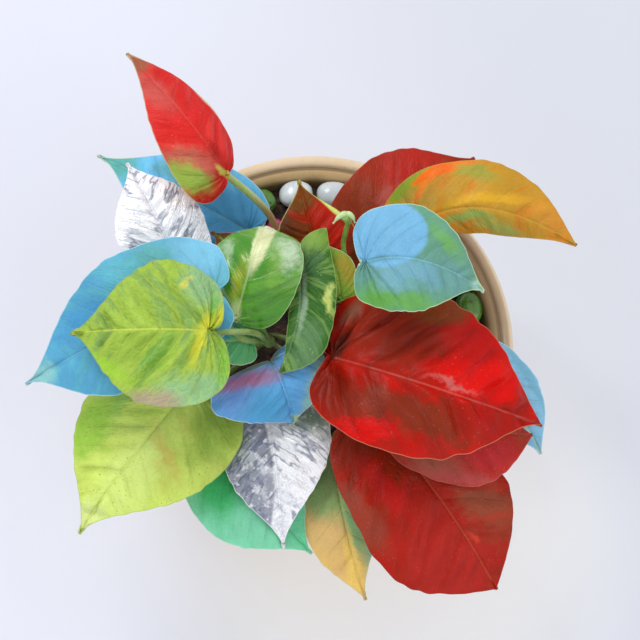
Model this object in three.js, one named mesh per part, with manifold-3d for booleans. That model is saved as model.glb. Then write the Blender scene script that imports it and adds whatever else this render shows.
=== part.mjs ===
// A bushy heart-leaved aroid in a squat round pot, its leaves painted in many colours.
// Millimetres, +Z up. The origin is the centre of the pot's flat base, on the surface it stands on.
// +X is to the right and +Y away from someone who looks down on the plant from its front.
import * as THREE from 'three';
import { mergeVertices } from 'three/addons/utils/BufferGeometryUtils.js';
import Module from 'manifold-3d';

const wasm = await Module();
wasm.setup();

// What touches keeps this gap.
const GAP = 0.3;

// The pot, as radius and height: its outside from the middle of the base up, then its rim with
// the rounded lip, the groove and the inner band, and then its inner wall down to the floor.
const POT = {
  sides: 40,
  outside: [[0, 0], [45.5, 0], [47, 1.5], [53.5, 20], [62.5, 48], [70.5, 74], [74.8, 76.4]],
  lip: [[76, 79], [76, 86.4], [75.1, 89], [73.4, 90], [71.4, 89.6]],
  groove: [[70.4, 88.5], [69.6, 88.8]],
  band: [[67.8, 87.8], [66.9, 86.4]],
  wall: [[66.7, 85.6], [65.9, 80.4], [61, 50], [53, 22], [46, 7]],
  floor: [0, 6],
};

// The soil: its level below the pebbles, the low mound round the vines, and its lumps.
const SOIL = {
  level: 80.4,
  sides: 28,
  rings: [52, 40, 28, 20, 12],
  moundRadius: 24,
  moundRise: 2.6,
  lumpDepth: 0.7,
  lumpLength: 7.4,
};

// The painted blades. Each half is a grid of lines out to the margin: a few round the back of the
// lobe, a fan from the stalk, then a ladder of slanting side veins up the midrib.
const BLADE = {
  thickness: 0.8,
  sinus: 0.9,
  slant: 0.65,
  lobeSteps: 2,
  fan: 4,
  ladder: 7,
  rings: 3,
  samples: [8, 24, 32],
};

// Leaf stalks and vines, with the plain hole in the soil that each vine stands in.
const STALK = { radius: 1.25, sides: 6, steps: 6 };
const VINE = { radius: 2.3, sides: 8, steps: 8, holeRadius: 3.3, holeSides: 12 };

// The pebbles: half sizes towards the wall, along it and upwards, then where they lie. The ring
// is listed clockwise from above; the others lie further in, where the leaves leave a view.
const PEBBLE = {
  seed: 20,
  variety: 0.05,
  skew: 0.1,
  ring: {
    radius: 61.1,
    firstAngle: 98.2,
    size: [5.2, 6.7, 4.2],
    colours: [
      'white', 'white', 'plum', 'green', 'white', 'plum', 'green', 'plum', 'white', 'pink',
      'white', 'green', 'white', 'plum', 'white', 'pink', 'white', 'green', 'white', 'white',
      'plum', 'white', 'green', 'pink', 'plum', 'green',
    ],
  },
  inner: [
    { colour: 'white', place: [-23.6, 48.4], size: [3, 3.2, 3] },
    { colour: 'pink', place: [-16.9, 47.9], size: [2.8, 3, 2.6] },
    { colour: 'plum', place: [-3, 49], size: [4, 5, 3.4] },
    { colour: 'green', place: [49, 12], size: [4, 5, 3.4] },
  ],
};

const COLOUR = {
  pot: 0xe1cda8,
  soil: 0x2b1f1a,
  stem: 0x86a548,
  red: 0xb02018,
  deepRed: 0x96281c,
  spearRed: 0xd23b38,
  rose: 0xb93c41,
  blue: 0x4ba3d6,
  paleBlue: 0x8cbedc,
  teal: 0x4ba07a,
  silver: 0xd9dce2,
  lime: 0xafcd50,
  heartGreen: 0xa5c846,
  leafGreen: 0x5fa52d,
  greyGreen: 0x4f8a4a,
  ochre: 0xc08c2d,
  emerald: 0x5abf8e,
  darkRed: 0x96280a,
  olive: 0xa6a050,
  brownRed: 0x7a3a14,
  white: 0xe9ecea,
  green: 0x6f9a4c,
  pink: 0xc8486e,
  plum: 0x2d2036,
};

// Every blade: its midrib runs through the rib points from the stalk to the tip. Each half, seen
// from the stalk towards the tip, has its half-width, where along the rib it is widest, how far
// its lobe reaches back behind the stalk and how far out that lobe lies, the angle at which it
// leaves the midrib, and how much it curls by its edge. Sizes in millimetres, angles in degrees.
const LEAVES = [
  {
    node: 'leaf_red_spear', colour: COLOUR.spearRed,
    rib: [[-39, 50, 138], [-53, 65, 150], [-76, 92, 146]],
    left: { wide: 17, at: 0.12, lobe: 6, out: 9, lift: 4, curl: -18, full: 0.2 },
    right: { wide: 14, at: 0.4, lobe: 2, out: 5, lift: -24, curl: -20, full: 0.5 },
    wave: [0.6, 3, 0.4], stalk: { vine: 'back', from: 0.55, via: [-20, 40, 114] },
  },
  {
    node: 'leaf_blue_back', colour: COLOUR.blue,
    rib: [[-29, 38, 107], [-57, 51, 112], [-86, 67, 104]],
    left: { wide: 16, at: 0.4, lobe: 5, out: 8, lift: 6, curl: -16, full: 0.1 },
    right: { wide: 19, at: 0.25, lobe: 5, out: 9, lift: 6, curl: -18, full: 0.1 },
    wave: [0.6, 2, 1.0], stalk: { vine: 'back', from: 0.35, via: [-20, 26, 98] },
  },
  {
    node: 'leaf_silver_left', colour: COLOUR.silver,
    rib: [[-56, 20, 122], [-65, 38, 128], [-75, 58, 122]],
    left: { wide: 17, at: 0.3, lobe: 9, out: 10, lift: 2, curl: -20, full: 0.1 },
    right: { wide: 16, at: 0.3, lobe: 9, out: 9, lift: 8, curl: -16, full: 0.1 },
    wave: [0.6, 3, 2.0], stalk: { vine: 'left', from: 0.5, via: [-38, 10, 106] },
  },
  {
    node: 'leaf_blue_left', colour: COLOUR.blue,
    rib: [[-44, 0, 153], [-77, -15, 152], [-109, -28, 126]],
    left: { wide: 21, at: 0.45, lobe: 4, out: 9, lift: 4, curl: -20, full: 0.1 },
    right: { wide: 26, at: 0.28, lobe: 10, out: 11, lift: 10, curl: -20, full: 0.1 },
    wave: [0.8, 3, 0.0], stalk: { vine: 'left', from: 0.98, via: [-35, -13, 146] },
  },
  {
    node: 'leaf_lime_heart', colour: COLOUR.heartGreen,
    rib: [[-46, -17, 166], [-68, -18, 170], [-93, -16, 154]],
    left: { wide: 27, at: 0.3, lobe: 8, out: 12, lift: 2, curl: -18, full: 0.1 },
    right: { wide: 25, at: 0.3, lobe: 8, out: 12, lift: 4, curl: -16, full: 0.1 },
    wave: [0.8, 3, 1.5], stalk: { vine: 'left', from: 0.98, via: [-31, -14, 154] },
  },
  {
    node: 'leaf_lime_front', colour: COLOUR.lime,
    rib: [[-50, -26, 115], [-68, -49, 119], [-89, -77, 98]],
    left: { wide: 29, at: 0.22, lobe: 9, out: 12, lift: 4, curl: -16, full: 0.1 },
    right: { wide: 27, at: 0.35, lobe: 9, out: 12, lift: 2, curl: -18, full: 0.15 },
    wave: [0.9, 3, 0.8], stalk: { vine: 'left', from: 0.55, via: [-34, -15, 102] },
  },
  {
    node: 'leaf_teal_small', colour: COLOUR.teal,
    rib: [[-29, -11, 130], [-38, -12, 132], [-48, -13, 129]],
    left: { wide: 9, at: 0.25, lobe: 2, out: 5, lift: 5, curl: -15, full: 0.1 },
    right: { wide: 8.5, at: 0.3, lobe: 2, out: 4, lift: 5, curl: -15, full: 0.1 },
    wave: [0.3, 2, 0.0], stalk: { vine: 'left', from: 0.8, via: [-25, -10, 122] },
  },
  {
    node: 'leaf_blue_front', colour: COLOUR.blue,
    rib: [[-21, -18, 128], [-17, -28, 131], [-12, -38, 116]],
    left: { wide: 18, at: 0.2, lobe: 4, out: 9, lift: 22, curl: -14, full: 0.2 },
    right: { wide: 27, at: 0.3, lobe: 2, out: 10, lift: -4, curl: -10, full: 0.25 },
    wave: [0.8, 3, 0.5], stalk: { vine: 'front', from: 0.95, via: [-19, -20, 118] },
  },
  {
    node: 'leaf_variegated', colour: COLOUR.leafGreen,
    rib: [[-35, -6, 142], [-31, 9, 154], [-27, 23, 153], [-25.5, 28, 135]],
    left: { wide: 19, at: 0.35, lobe: 2, out: 5, lift: -20, curl: -36, full: 0.3 },
    right: { wide: 18.5, at: 0.4, lobe: 2, out: 8, lift: 4, curl: -26, full: 0.5 },
    wave: [0.5, 3, 0.2], stalk: { vine: 'left', from: 0.98, via: [-27, -7, 139] },
  },
  {
    node: 'leaf_grey_green', colour: COLOUR.greyGreen,
    rib: [[-12.5, 9, 144], [-13, -6, 142.5], [-18.5, -24, 135]],
    left: { wide: 13, at: 0.45, lobe: 17, out: 12.5, lift: 26, curl: -30, full: 0.8 },
    right: { wide: 3.6, at: 0.25, lobe: 3, out: 2.6, lift: -10, curl: -10, full: 0.2 },
    wave: [0.4, 2, 0.0], stalk: { vine: 'back', from: 0.95, via: [-12, 8, 132] },
  },
  {
    node: 'leaf_yellow_small', colour: COLOUR.lime,
    rib: [[3, 4, 136], [1, 14, 139], [-4, 25, 137]],
    left: { wide: 6, at: 0.4, lobe: 2, out: 3, lift: 4, curl: -15, full: 0.1 },
    right: { wide: 7.5, at: 0.45, lobe: 2, out: 4, lift: 0, curl: -20, full: 0.1 },
    wave: [0.3, 2, 0.7], stalk: { vine: 'right', from: 0.9, via: [5, 2, 130] },
  },
  {
    node: 'leaf_dark_red_point', colour: COLOUR.darkRed,
    rib: [[-2, 16, 123], [-7, 30, 133], [-12, 50, 133]],
    left: { wide: 15, at: 0.3, lobe: 4, out: 7, lift: -4, curl: -20, full: 0.1 },
    right: { wide: 17, at: 0.25, lobe: 8, out: 10, lift: 6, curl: -16, full: 0.1 },
    wave: [0.4, 2, 0.9], stalk: { vine: 'back', from: 0.75, via: [-5, 13, 115] },
  },
  {
    node: 'leaf_dark_red_back', colour: COLOUR.deepRed,
    rib: [[9, 20, 114], [28, 42, 127], [56, 65, 121]],
    left: { wide: 23, at: 0.48, lobe: 4, out: 9, lift: 4, curl: -18, full: 0.15 },
    right: { wide: 24, at: 0.4, lobe: 4, out: 9, lift: 4, curl: -18, full: 0.15 },
    wave: [0.8, 3, 0.3], stalk: { vine: 'right', from: 0.5, via: [8, 12, 103] },
  },
  {
    node: 'leaf_orange', colour: COLOUR.ochre,
    rib: [[31, 30, 150], [55, 32, 160], [88, 23, 148]],
    left: { wide: 18, at: 0.3, lobe: 14, out: 8, lift: 6, curl: -14, full: 0.4 },
    right: { wide: 12, at: 0.3, lobe: 9, out: 6, lift: -35, curl: -45, full: 0.3 },
    wave: [0.6, 3, 0.0], stalk: { vine: 'right', from: 0.95, via: [21, 31, 136] },
  },
  {
    node: 'leaf_blue_heart', colour: COLOUR.blue,
    rib: [[8, 7, 174], [27, 6, 180], [50, -1, 168]],
    left: { wide: 20, at: 0.27, lobe: 4, out: 10, lift: 2, curl: -14, full: 0.2 },
    right: { wide: 19, at: 0.33, lobe: 6, out: 9, lift: 4, curl: -20, full: 0.1 },
    wave: [0.6, 3, 1.1], stalk: { vine: 'right', from: 0.98, via: [17, 10, 148] },
  },
  {
    node: 'leaf_big_red', colour: COLOUR.red,
    rib: [[0, -19, 141], [35, -32, 152], [77, -40, 130]],
    left: { wide: 33, at: 0.38, lobe: 9, out: 18, lift: 4, curl: -16, full: 0.4 },
    right: { wide: 27, at: 0.35, lobe: 3.5, out: 11, lift: 4, curl: -20, full: 0.1 },
    wave: [1.0, 3, 0.6], stalk: { vine: 'right', from: 0.9, via: [4, -9, 130] },
  },
  {
    node: 'leaf_red_low', colour: COLOUR.red,
    rib: [[13.5, -33, 116], [39, -63, 120], [65, -95, 97]],
    left: { wide: 26, at: 0.5, lobe: 9, out: 12, lift: 4, curl: -16, full: 0.6 },
    right: { wide: 31.5, at: 0.55, lobe: 2, out: 8, lift: 2, curl: -18, full: 0.68 },
    wave: [1.0, 3, 1.4], stalk: { vine: 'left', from: 0.5, via: [-14.2, -6.9, 100] },
  },
  {
    node: 'leaf_rose', colour: COLOUR.rose,
    rib: [[28, -38, 132], [52, -43, 135], [75, -42, 123]],
    left: { wide: 16, at: 0.4, lobe: 7, out: 8, lift: 2, curl: -14, full: 0.2 },
    right: { wide: 21, at: 0.45, lobe: 7, out: 8, lift: -6, curl: -22, full: 0.4 },
    wave: [0.6, 3, 0.0], stalk: { vine: 'left', from: 0.38, via: [-14.3, -2, 101] },
  },
  {
    node: 'leaf_pale_blue', colour: COLOUR.paleBlue,
    rib: [[56, -13, 118], [68.5, -29, 118], [81, -46, 108]],
    left: { wide: 13.5, at: 0.35, lobe: 5, out: 6, lift: 4, curl: -14, full: 0.4 },
    right: { wide: 14, at: 0.35, lobe: 5, out: 6, lift: 4, curl: -14, full: 0.2 },
    wave: [0.6, 3, 0.5], stalk: { vine: 'right', from: 0.5, via: [30, -5, 106] },
  },
  {
    node: 'leaf_silver_front', colour: COLOUR.silver,
    rib: [[-21, -31, 109], [-18, -55, 111.5], [-14, -81, 97.5]],
    left: { wide: 22, at: 0.16, lobe: 6, out: 10, lift: 8, curl: -16, full: 0.1 },
    right: { wide: 19, at: 0.3, lobe: 6, out: 10, lift: 2, curl: -16, full: 0.1 },
    wave: [0.6, 3, 0.0], stalk: { vine: 'front', from: 0.75, via: [-18, -25, 103] },
  },
  {
    node: 'leaf_emerald', colour: COLOUR.emerald,
    rib: [[-37, -41, 103], [-24, -61, 104], [-3, -82, 91.5]],
    left: { wide: 18, at: 0.4, lobe: 7, out: 9, lift: 2, curl: -14, full: 0.1 },
    right: { wide: 24, at: 0.35, lobe: 8, out: 11, lift: 0, curl: -14, full: 0.2 },
    wave: [0.6, 3, 0.9], stalk: { vine: 'front', from: 0.5, via: [-22, -28, 96] },
  },
  {
    node: 'leaf_ochre', colour: COLOUR.olive,
    rib: [[4, -40, 95], [8, -68, 98], [18, -98, 84]],
    left: { wide: 13, at: 0.4, lobe: 6, out: 7, lift: 2, curl: -14, full: 0.1 },
    right: { wide: 15, at: 0.5, lobe: 4, out: 5, lift: -8, curl: -10, full: 0.3 },
    wave: [0.6, 3, 0.0], stalk: { vine: 'front', from: 0.5, via: [-4, -30, 89] },
  },
  {
    node: 'leaf_brown_red', colour: COLOUR.brownRed,
    rib: [[-29, 17, 120], [-35, 26, 121], [-43, 34, 116]],
    left: { wide: 6, at: 0.4, lobe: 2, out: 3, lift: 4, curl: -14, full: 0.1 },
    right: { wide: 7, at: 0.4, lobe: 2, out: 3, lift: 4, curl: -14, full: 0.1 },
    wave: [0.3, 2, 0.0], stalk: { vine: 'back', from: 0.6, via: [-21, 14, 110] },
  },
];

// The vines out of the soil: each is a stem through these points, from inside its hole.
const VINES = {
  left: [[-22, 3, 66], [-22, 2.5, 84], [-21, -5, 108], [-22, -11, 128]],
  back: [[-9, 12, 66], [-9.5, 12, 86], [-13, 10, 108], [-15, 8, 126]],
  right: [[6, -2, 66], [6, -1.7, 88], [6, 0, 112], [7, 3, 132]],
  front: [[-12, -18, 66], [-12.3, -18.3, 86], [-14, -20, 98], [-16, -21, 110]],
};

// The young shoot that rises off the right vine, and the two drooping arms of its bud.
const SHOOT = {
  vine: 'right',
  from: 0.95,
  radius: 0.95,
  armRadius: 1.05,
  sides: 6,
  steps: 10,
  armSteps: 5,
  stem: [[7, 10, 131], [5.4, 18, 133], [3.8, 23, 140], [3.1, 24, 155], [2.4, 23.5, 168], [1, 23, 172.5]],
  arms: [
    [[1.2, 23, 172], [0.6, 23.8, 174.6], [-1.4, 22.8, 174.2], [-3, 21.4, 171.6]],
    [[1, 23, 172], [1.8, 23.8, 174.6], [3.2, 23, 174], [4.2, 21.8, 171.8]],
  ],
};

function vector([x, y, z]) {
  return new THREE.Vector3(x, y, z);
}

// A curve that passes through a few points at even steps of its parameter.
class RibCurve extends THREE.Curve {
  constructor(points) {
    super();
    this.points = points.map(vector);
  }

  getPoint(t, target = new THREE.Vector3()) {
    const last = this.points.length - 1;
    target.set(0, 0, 0);
    this.points.forEach((point, i) => {
      let weight = 1;
      for (let k = 0; k <= last; k += 1) {
        if (k !== i) weight *= (t * last - k) / (i - k);
      }
      target.addScaledVector(point, weight);
    });
    return target;
  }
}

// One half of a leaf's outline, flat: x runs along the midrib, y out from it.
function halfOutline(half, length) {
  const point = (x, y) => new THREE.Vector2(x, y);
  const { wide, lobe, out } = half;
  const broad = half.at * length;
  const inner = point(-0.45 * lobe, BLADE.sinus);
  const back = point(-lobe, out);
  const side = point(broad, wide);
  const tip = point(length, 0);
  const backReach = 0.55 * (broad + lobe);
  return [
    new THREE.CubicBezierCurve(
      inner, point(-0.9 * lobe, BLADE.sinus + 0.05 * out), point(-lobe, 0.6 * out), back),
    new THREE.CubicBezierCurve(
      back, point(-lobe, out + 0.6 * (wide - out)), point(broad - backReach, wide), side),
    new THREE.CubicBezierCurve(
      side, point(broad + 0.5 * (length - broad), wide),
      point(length - 0.35 * (length - broad), half.full * wide), tip),
  ];
}

// The margin as many points, each with how far along the midrib its side vein starts.
function marginSamples(half, length) {
  const samples = [];
  halfOutline(half, length).forEach((curve, piece) => {
    const count = BLADE.samples[piece];
    for (let i = piece === 0 ? 0 : 1; i <= count; i += 1) {
      const { x, y } = curve.getPoint(i / count);
      samples.push({ x, y, vein: x - BLADE.slant * y });
    }
  });
  return samples;
}

// The margin points that the grid's lines run to: a fan from the stalk, then a ladder up the midrib.
function marginStops(half, length) {
  const samples = marginSamples(half, length);
  const last = samples.length - 1;
  let first = last;
  while (first > 0 && samples[first - 1].vein > 0) first -= 1;
  const at = (place) => {
    const i = Math.min(Math.floor(place), last - 1);
    const mix = place - i;
    const [a, b] = [samples[i], samples[i + 1]];
    return [a.x + mix * (b.x - a.x), a.y + mix * (b.y - a.y)];
  };
  const where = (vein) => {
    let i = Math.max(first, 1);
    while (i < last && samples[i].vein < vein) i += 1;
    const [a, b] = [samples[i - 1], samples[i]];
    return i - 1 + (vein - a.vein) / (b.vein - a.vein);
  };
  const stops = [];
  const [back] = BLADE.samples;
  for (let i = 0; i < BLADE.lobeSteps; i += 1) {
    stops.push({ vein: 0, edge: at((back * i) / BLADE.lobeSteps) });
  }
  for (let i = 0; i <= BLADE.fan; i += 1) {
    stops.push({ vein: 0, edge: at(back + ((where(0) - back) * i) / BLADE.fan) });
  }
  for (let i = 1; i < BLADE.ladder; i += 1) {
    const vein = (length * i) / BLADE.ladder;
    stops.push({ vein, edge: at(where(vein)) });
  }
  stops.push({ vein: length, edge: [length, 0] });
  return stops;
}

// Where a flat point of one half lies once the leaf is bent along its rib and rolled across it.
function bend(leaf, rib, length, side, x, y) {
  const half = leaf[side];
  const along = Math.min(Math.max(x / length, 0), 1);
  const spine = rib.getPointAt(along);
  const forward = rib.getTangentAt(along);
  const normal = new THREE.Vector3(0, 0, 1);
  normal.addScaledVector(forward, -normal.dot(forward)).normalize();
  const across = new THREE.Vector3().crossVectors(normal, forward).multiplyScalar(side === 'left' ? 1 : -1);
  const lift = THREE.MathUtils.degToRad(half.lift);
  const turn = THREE.MathUtils.degToRad(half.curl) / half.wide;
  const outward = (Math.sin(lift + turn * y) - Math.sin(lift)) / turn;
  const upward = (Math.cos(lift) - Math.cos(lift + turn * y)) / turn;
  const [height, count, phase] = leaf.wave;
  const ripple = height * (y / half.wide) ** 2 * Math.sin(2 * Math.PI * count * along + phase);
  return spine
    .addScaledVector(forward, Math.min(x, 0))
    .addScaledVector(across, outward)
    .addScaledVector(normal, upward + ripple);
}

// A body from a flat list of corner points and a flat list of triangles.
function closedGeometry(positions, indices) {
  const geometry = new THREE.BufferGeometry();
  geometry.setAttribute('position', new THREE.Float32BufferAttribute(positions, 3));
  geometry.setIndex(indices);
  geometry.computeVertexNormals();
  return geometry;
}

// A thin blade: its middle surface as a grid, then both faces with the same triangles and a rim.
function bladeGeometry(leaf) {
  const rib = new RibCurve(leaf.rib);
  const length = rib.getLength();
  const points = [];
  const ribIndex = new Map();
  const triangles = [];
  const add = (point) => points.push(point) - 1;
  const onRib = (vein) => {
    if (!ribIndex.has(vein)) ribIndex.set(vein, add(bend(leaf, rib, length, 'left', vein, 0)));
    return ribIndex.get(vein);
  };
  const edges = {};
  for (const side of ['left', 'right']) {
    const lines = marginStops(leaf[side], length).map(({ vein, edge }) => {
      const line = [onRib(vein)];
      if (vein === length) return line;
      for (let ring = 1; ring <= BLADE.rings; ring += 1) {
        const t = ring / BLADE.rings;
        line.push(add(bend(leaf, rib, length, side, vein + t * (edge[0] - vein), t * edge[1])));
      }
      return line;
    });
    const face = (a, b, c) => {
      if (a === b || b === c || a === c) return;
      triangles.push(side === 'left' ? [a, c, b] : [a, b, c]);
    };
    for (let i = 0; i + 1 < lines.length; i += 1) {
      for (let ring = 0; ring < BLADE.rings; ring += 1) {
        const reach = (line, k) => line[Math.min(k, line.length - 1)];
        const [a, b] = [reach(lines[i], ring), reach(lines[i], ring + 1)];
        const [c, d] = [reach(lines[i + 1], ring), reach(lines[i + 1], ring + 1)];
        face(a, b, c);
        face(b, d, c);
      }
    }
    edges[side] = [...lines[0].slice(1), ...lines.slice(1).map((line) => line.at(-1))];
  }
  const loop = [onRib(0), ...edges.left, ...edges.right.slice(0, -1).reverse()];
  const middle = closedGeometry(points.flatMap((p) => p.toArray()), triangles.flat());
  const normals = middle.attributes.normal;
  const count = points.length;
  const positions = [];
  for (const face of [1, -1]) {
    points.forEach((point, i) => {
      const normal = new THREE.Vector3().fromBufferAttribute(normals, i);
      positions.push(...point.clone().addScaledVector(normal, (face * BLADE.thickness) / 2));
    });
  }
  const indices = triangles.flatMap(([a, b, c]) => [a, b, c, a + count, c + count, b + count]);
  loop.forEach((a, i) => {
    const b = loop[(i + 1) % loop.length];
    indices.push(a, b, b + count, a, b + count, a + count);
  });
  return closedGeometry(positions, indices);
}

// A geometry as a solid that can be joined and cut.
function toManifold(geometry) {
  const bare = geometry.clone();
  bare.deleteAttribute('normal');
  bare.deleteAttribute('uv');
  const merged = mergeVertices(bare, 1e-4);
  return new wasm.Manifold(new wasm.Mesh({
    numProp: 3,
    vertProperties: new Float32Array(merged.attributes.position.array),
    triVerts: new Uint32Array(merged.index.array),
  }));
}

function fromManifold(solid) {
  const { vertProperties, triVerts } = solid.getMesh();
  return closedGeometry(Array.from(vertProperties), Array.from(triVerts));
}

// A round stem along a curve, with flat ends.
function tube(curve, radius, sides, steps) {
  const section = new THREE.Shape();
  for (let i = 0; i < sides; i += 1) {
    const angle = (2 * Math.PI * i) / sides;
    const [x, y] = [radius * Math.cos(angle), radius * Math.sin(angle)];
    if (i === 0) section.moveTo(x, y);
    else section.lineTo(x, y);
  }
  section.closePath();
  return new THREE.ExtrudeGeometry(section, { extrudePath: curve, steps, curveSegments: 1 });
}

function mesh(name, geometry, colour, roughness = 0.5, metalness = 0) {
  const material = new THREE.MeshStandardMaterial({ color: colour, roughness, metalness });
  const object = new THREE.Mesh(geometry, material);
  object.name = name;
  return object;
}

function turned(profile, sides) {
  const outline = profile.map(([radius, z]) => new THREE.Vector2(radius, z));
  return new THREE.LatheGeometry(outline, sides).rotateX(Math.PI / 2);
}

function potGeometry() {
  const { outside, lip, groove, band, wall, floor, sides } = POT;
  return turned([...outside, ...lip, ...groove, ...band, ...wall, floor], sides);
}

// Height of the soil at a distance from the middle.
function soilHeight(radius) {
  const rise = Math.max(0, 1 - (radius / SOIL.moundRadius) ** 2);
  return SOIL.level + SOIL.moundRise * rise * rise;
}

// The soil fills the pot up to its level, a little clear of the wall and the floor.
function soilGeometry() {
  const clear = 2 * GAP;
  const wall = POT.wall.filter(([, z]) => z <= SOIL.level).reverse();
  const side = wall.map(([radius, z]) => [radius - clear, Math.min(z + GAP, SOIL.level)]);
  const top = [...SOIL.rings, 0].map((radius) => [radius, soilHeight(radius)]);
  const geometry = turned([[0, side[0][1]], ...side, ...top], SOIL.sides);
  const place = geometry.attributes.position;
  const pitch = (2 * Math.PI) / SOIL.lumpLength;
  for (let i = 0; i < place.count; i += 1) {
    const [x, y, z] = [place.getX(i), place.getY(i), place.getZ(i)];
    const radius = Math.hypot(x, y);
    if (z >= SOIL.level && radius < SOIL.rings[0] + clear && radius > clear) {
      const lump = Math.sin(pitch * x) * Math.sin(pitch * y);
      place.setZ(i, z - (SOIL.lumpDepth * (1 + lump)) / 2);
    }
  }
  return geometry;
}

function vineCurve(name) {
  return new THREE.CatmullRomCurve3(VINES[name].map(vector), false, 'centripetal');
}

// The soil, with a plain hole for each vine.
function soilWithHoles() {
  let soil = toManifold(soilGeometry());
  for (const [[x, y, foot]] of Object.values(VINES)) {
    const depth = 2 * (SOIL.level - foot);
    const hole = new THREE.CylinderGeometry(VINE.holeRadius, VINE.holeRadius, depth, VINE.holeSides)
      .rotateX(Math.PI / 2)
      .translate(x, y, foot - GAP + depth / 2);
    soil = soil.subtract(toManifold(hole));
  }
  return fromManifold(soil);
}

// A leaf stalk: out of its vine, up past its bend, and to just under the blade's own base.
function stalkCurve(leaf) {
  const { vine, from, via } = leaf.stalk;
  const rib = new RibCurve(leaf.rib);
  const forward = rib.getTangentAt(0);
  const normal = new THREE.Vector3(0, 0, 1);
  normal.addScaledVector(forward, -normal.dot(forward)).normalize();
  const end = vector(leaf.rib[0])
    .addScaledVector(normal, -(BLADE.thickness / 2 + 2 * GAP + STALK.radius));
  const start = vineCurve(vine).getPointAt(from);
  return new THREE.CatmullRomCurve3([start, vector(via), end], false, 'centripetal');
}

// A young shoot off its vine, with the drooping arms of its bud.
function shootSolid() {
  const { vine, from, stem, arms } = SHOOT;
  const smooth = (points) => new THREE.CatmullRomCurve3(points, false, 'centripetal');
  const root = vineCurve(vine).getPointAt(from);
  const stalk = tube(smooth([root, ...stem.map(vector)]), SHOOT.radius, SHOOT.sides, SHOOT.steps);
  let shoot = toManifold(stalk);
  for (const arm of arms) {
    const droop = tube(smooth(arm.map(vector)), SHOOT.armRadius, SHOOT.sides, SHOOT.armSteps);
    shoot = shoot.add(toManifold(droop));
  }
  return shoot;
}

// One vine, with its leaf stalks and any shoot grown on as a single body.
function stemGeometry(name) {
  let stem = toManifold(tube(vineCurve(name), VINE.radius, VINE.sides, VINE.steps));
  for (const leaf of LEAVES.filter(({ stalk }) => stalk.vine === name)) {
    stem = stem.add(toManifold(tube(stalkCurve(leaf), STALK.radius, STALK.sides, STALK.steps)));
  }
  if (SHOOT.vine === name) stem = stem.add(shootSolid());
  return fromManifold(stem);
}

// Seeded random numbers between 0 and 1.
function seededRandom(seed) {
  let state = seed;
  return () => {
    state = (state + 0x6d2b79f5) | 0;
    let mixed = Math.imul(state ^ (state >>> 15), 1 | state);
    mixed = (mixed + Math.imul(mixed ^ (mixed >>> 7), 61 | mixed)) ^ mixed;
    return ((mixed ^ (mixed >>> 14)) >>> 0) / 4294967296;
  };
}

// The pebbles lie on the soil, most of them in a ring by the pot's wall.
function addPebbles(group) {
  const random = seededRandom(PEBBLE.seed);
  const vary = (size) => size * (1 + PEBBLE.variety * (random() - 0.5));
  const { colours, radius, firstAngle, size: ringSize } = PEBBLE.ring;
  const ring = colours.map((colour, i) => {
    const angle = THREE.MathUtils.degToRad(firstAngle) - (2 * Math.PI * i) / colours.length;
    return { colour, place: [radius * Math.cos(angle), radius * Math.sin(angle)], size: ringSize };
  });
  [...ring, ...PEBBLE.inner].forEach(({ colour, place: [x, y], size: [deep, broad, high] }, i) => {
    const stone = new THREE.IcosahedronGeometry(1, 1);
    stone.scale(vary(deep), vary(broad), vary(high));
    stone.computeBoundingBox();
    const piece = mesh(`pebble_${colour}_${i + 1}`, stone, COLOUR[colour], 0.35);
    piece.position.set(x, y, SOIL.level + GAP - stone.boundingBox.min.z);
    piece.rotation.z = Math.atan2(y, x) + PEBBLE.skew * (random() - 0.5);
    group.add(piece);
  });
}

const plant = new THREE.Group();
plant.add(mesh('pot', potGeometry(), COLOUR.pot, 0.35));
plant.add(mesh('soil', soilWithHoles(), COLOUR.soil, 0.95));
addPebbles(plant);
for (const name of Object.keys(VINES)) {
  plant.add(mesh(`vine_${name}`, stemGeometry(name), COLOUR.stem, 0.45));
}
for (const leaf of LEAVES) {
  plant.add(mesh(leaf.node, bladeGeometry(leaf), leaf.colour, 0.35));
}

export default plant;
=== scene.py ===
"""A bushy heart-leaved plant in a squat round pot, its leaves painted in many colours.

Metres, +Z up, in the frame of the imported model. Sizes in the tables are millimetres and angles
are degrees. A leaf is described flat first: x runs along its midrib from the stalk to the tip,
and y runs out from the midrib, to the left of someone who looks from the stalk to the tip.
"""

import logging
import math
import random
from collections.abc import Callable
from dataclasses import dataclass, field
from enum import Enum

import bpy
from mathutils import Matrix, Vector, noise

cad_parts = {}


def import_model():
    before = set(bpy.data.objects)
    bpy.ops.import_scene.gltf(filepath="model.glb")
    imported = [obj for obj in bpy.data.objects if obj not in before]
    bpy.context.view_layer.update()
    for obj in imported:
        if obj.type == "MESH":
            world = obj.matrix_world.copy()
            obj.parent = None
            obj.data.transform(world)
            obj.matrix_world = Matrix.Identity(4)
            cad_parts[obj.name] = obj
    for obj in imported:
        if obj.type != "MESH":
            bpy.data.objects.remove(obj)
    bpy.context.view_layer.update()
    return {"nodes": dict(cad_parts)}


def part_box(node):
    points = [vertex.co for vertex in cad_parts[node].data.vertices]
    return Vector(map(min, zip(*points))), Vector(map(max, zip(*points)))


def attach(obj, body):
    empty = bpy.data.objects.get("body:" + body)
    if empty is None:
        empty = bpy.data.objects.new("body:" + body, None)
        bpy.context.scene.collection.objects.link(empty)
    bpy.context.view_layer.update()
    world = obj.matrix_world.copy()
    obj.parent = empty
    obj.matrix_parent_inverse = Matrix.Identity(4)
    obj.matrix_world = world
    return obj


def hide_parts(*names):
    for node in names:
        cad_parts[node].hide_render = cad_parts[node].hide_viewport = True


LOG = logging.getLogger("painted_plant")
MM = 0.001
MEETING = 0.01
SHORTEST = 1e-6
NEARBY = 0.002
BODY = "root"
Colour = tuple[int, int, int]
Point = tuple[float, float, float]
Fact = tuple[float, float, float, float, float]


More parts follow.
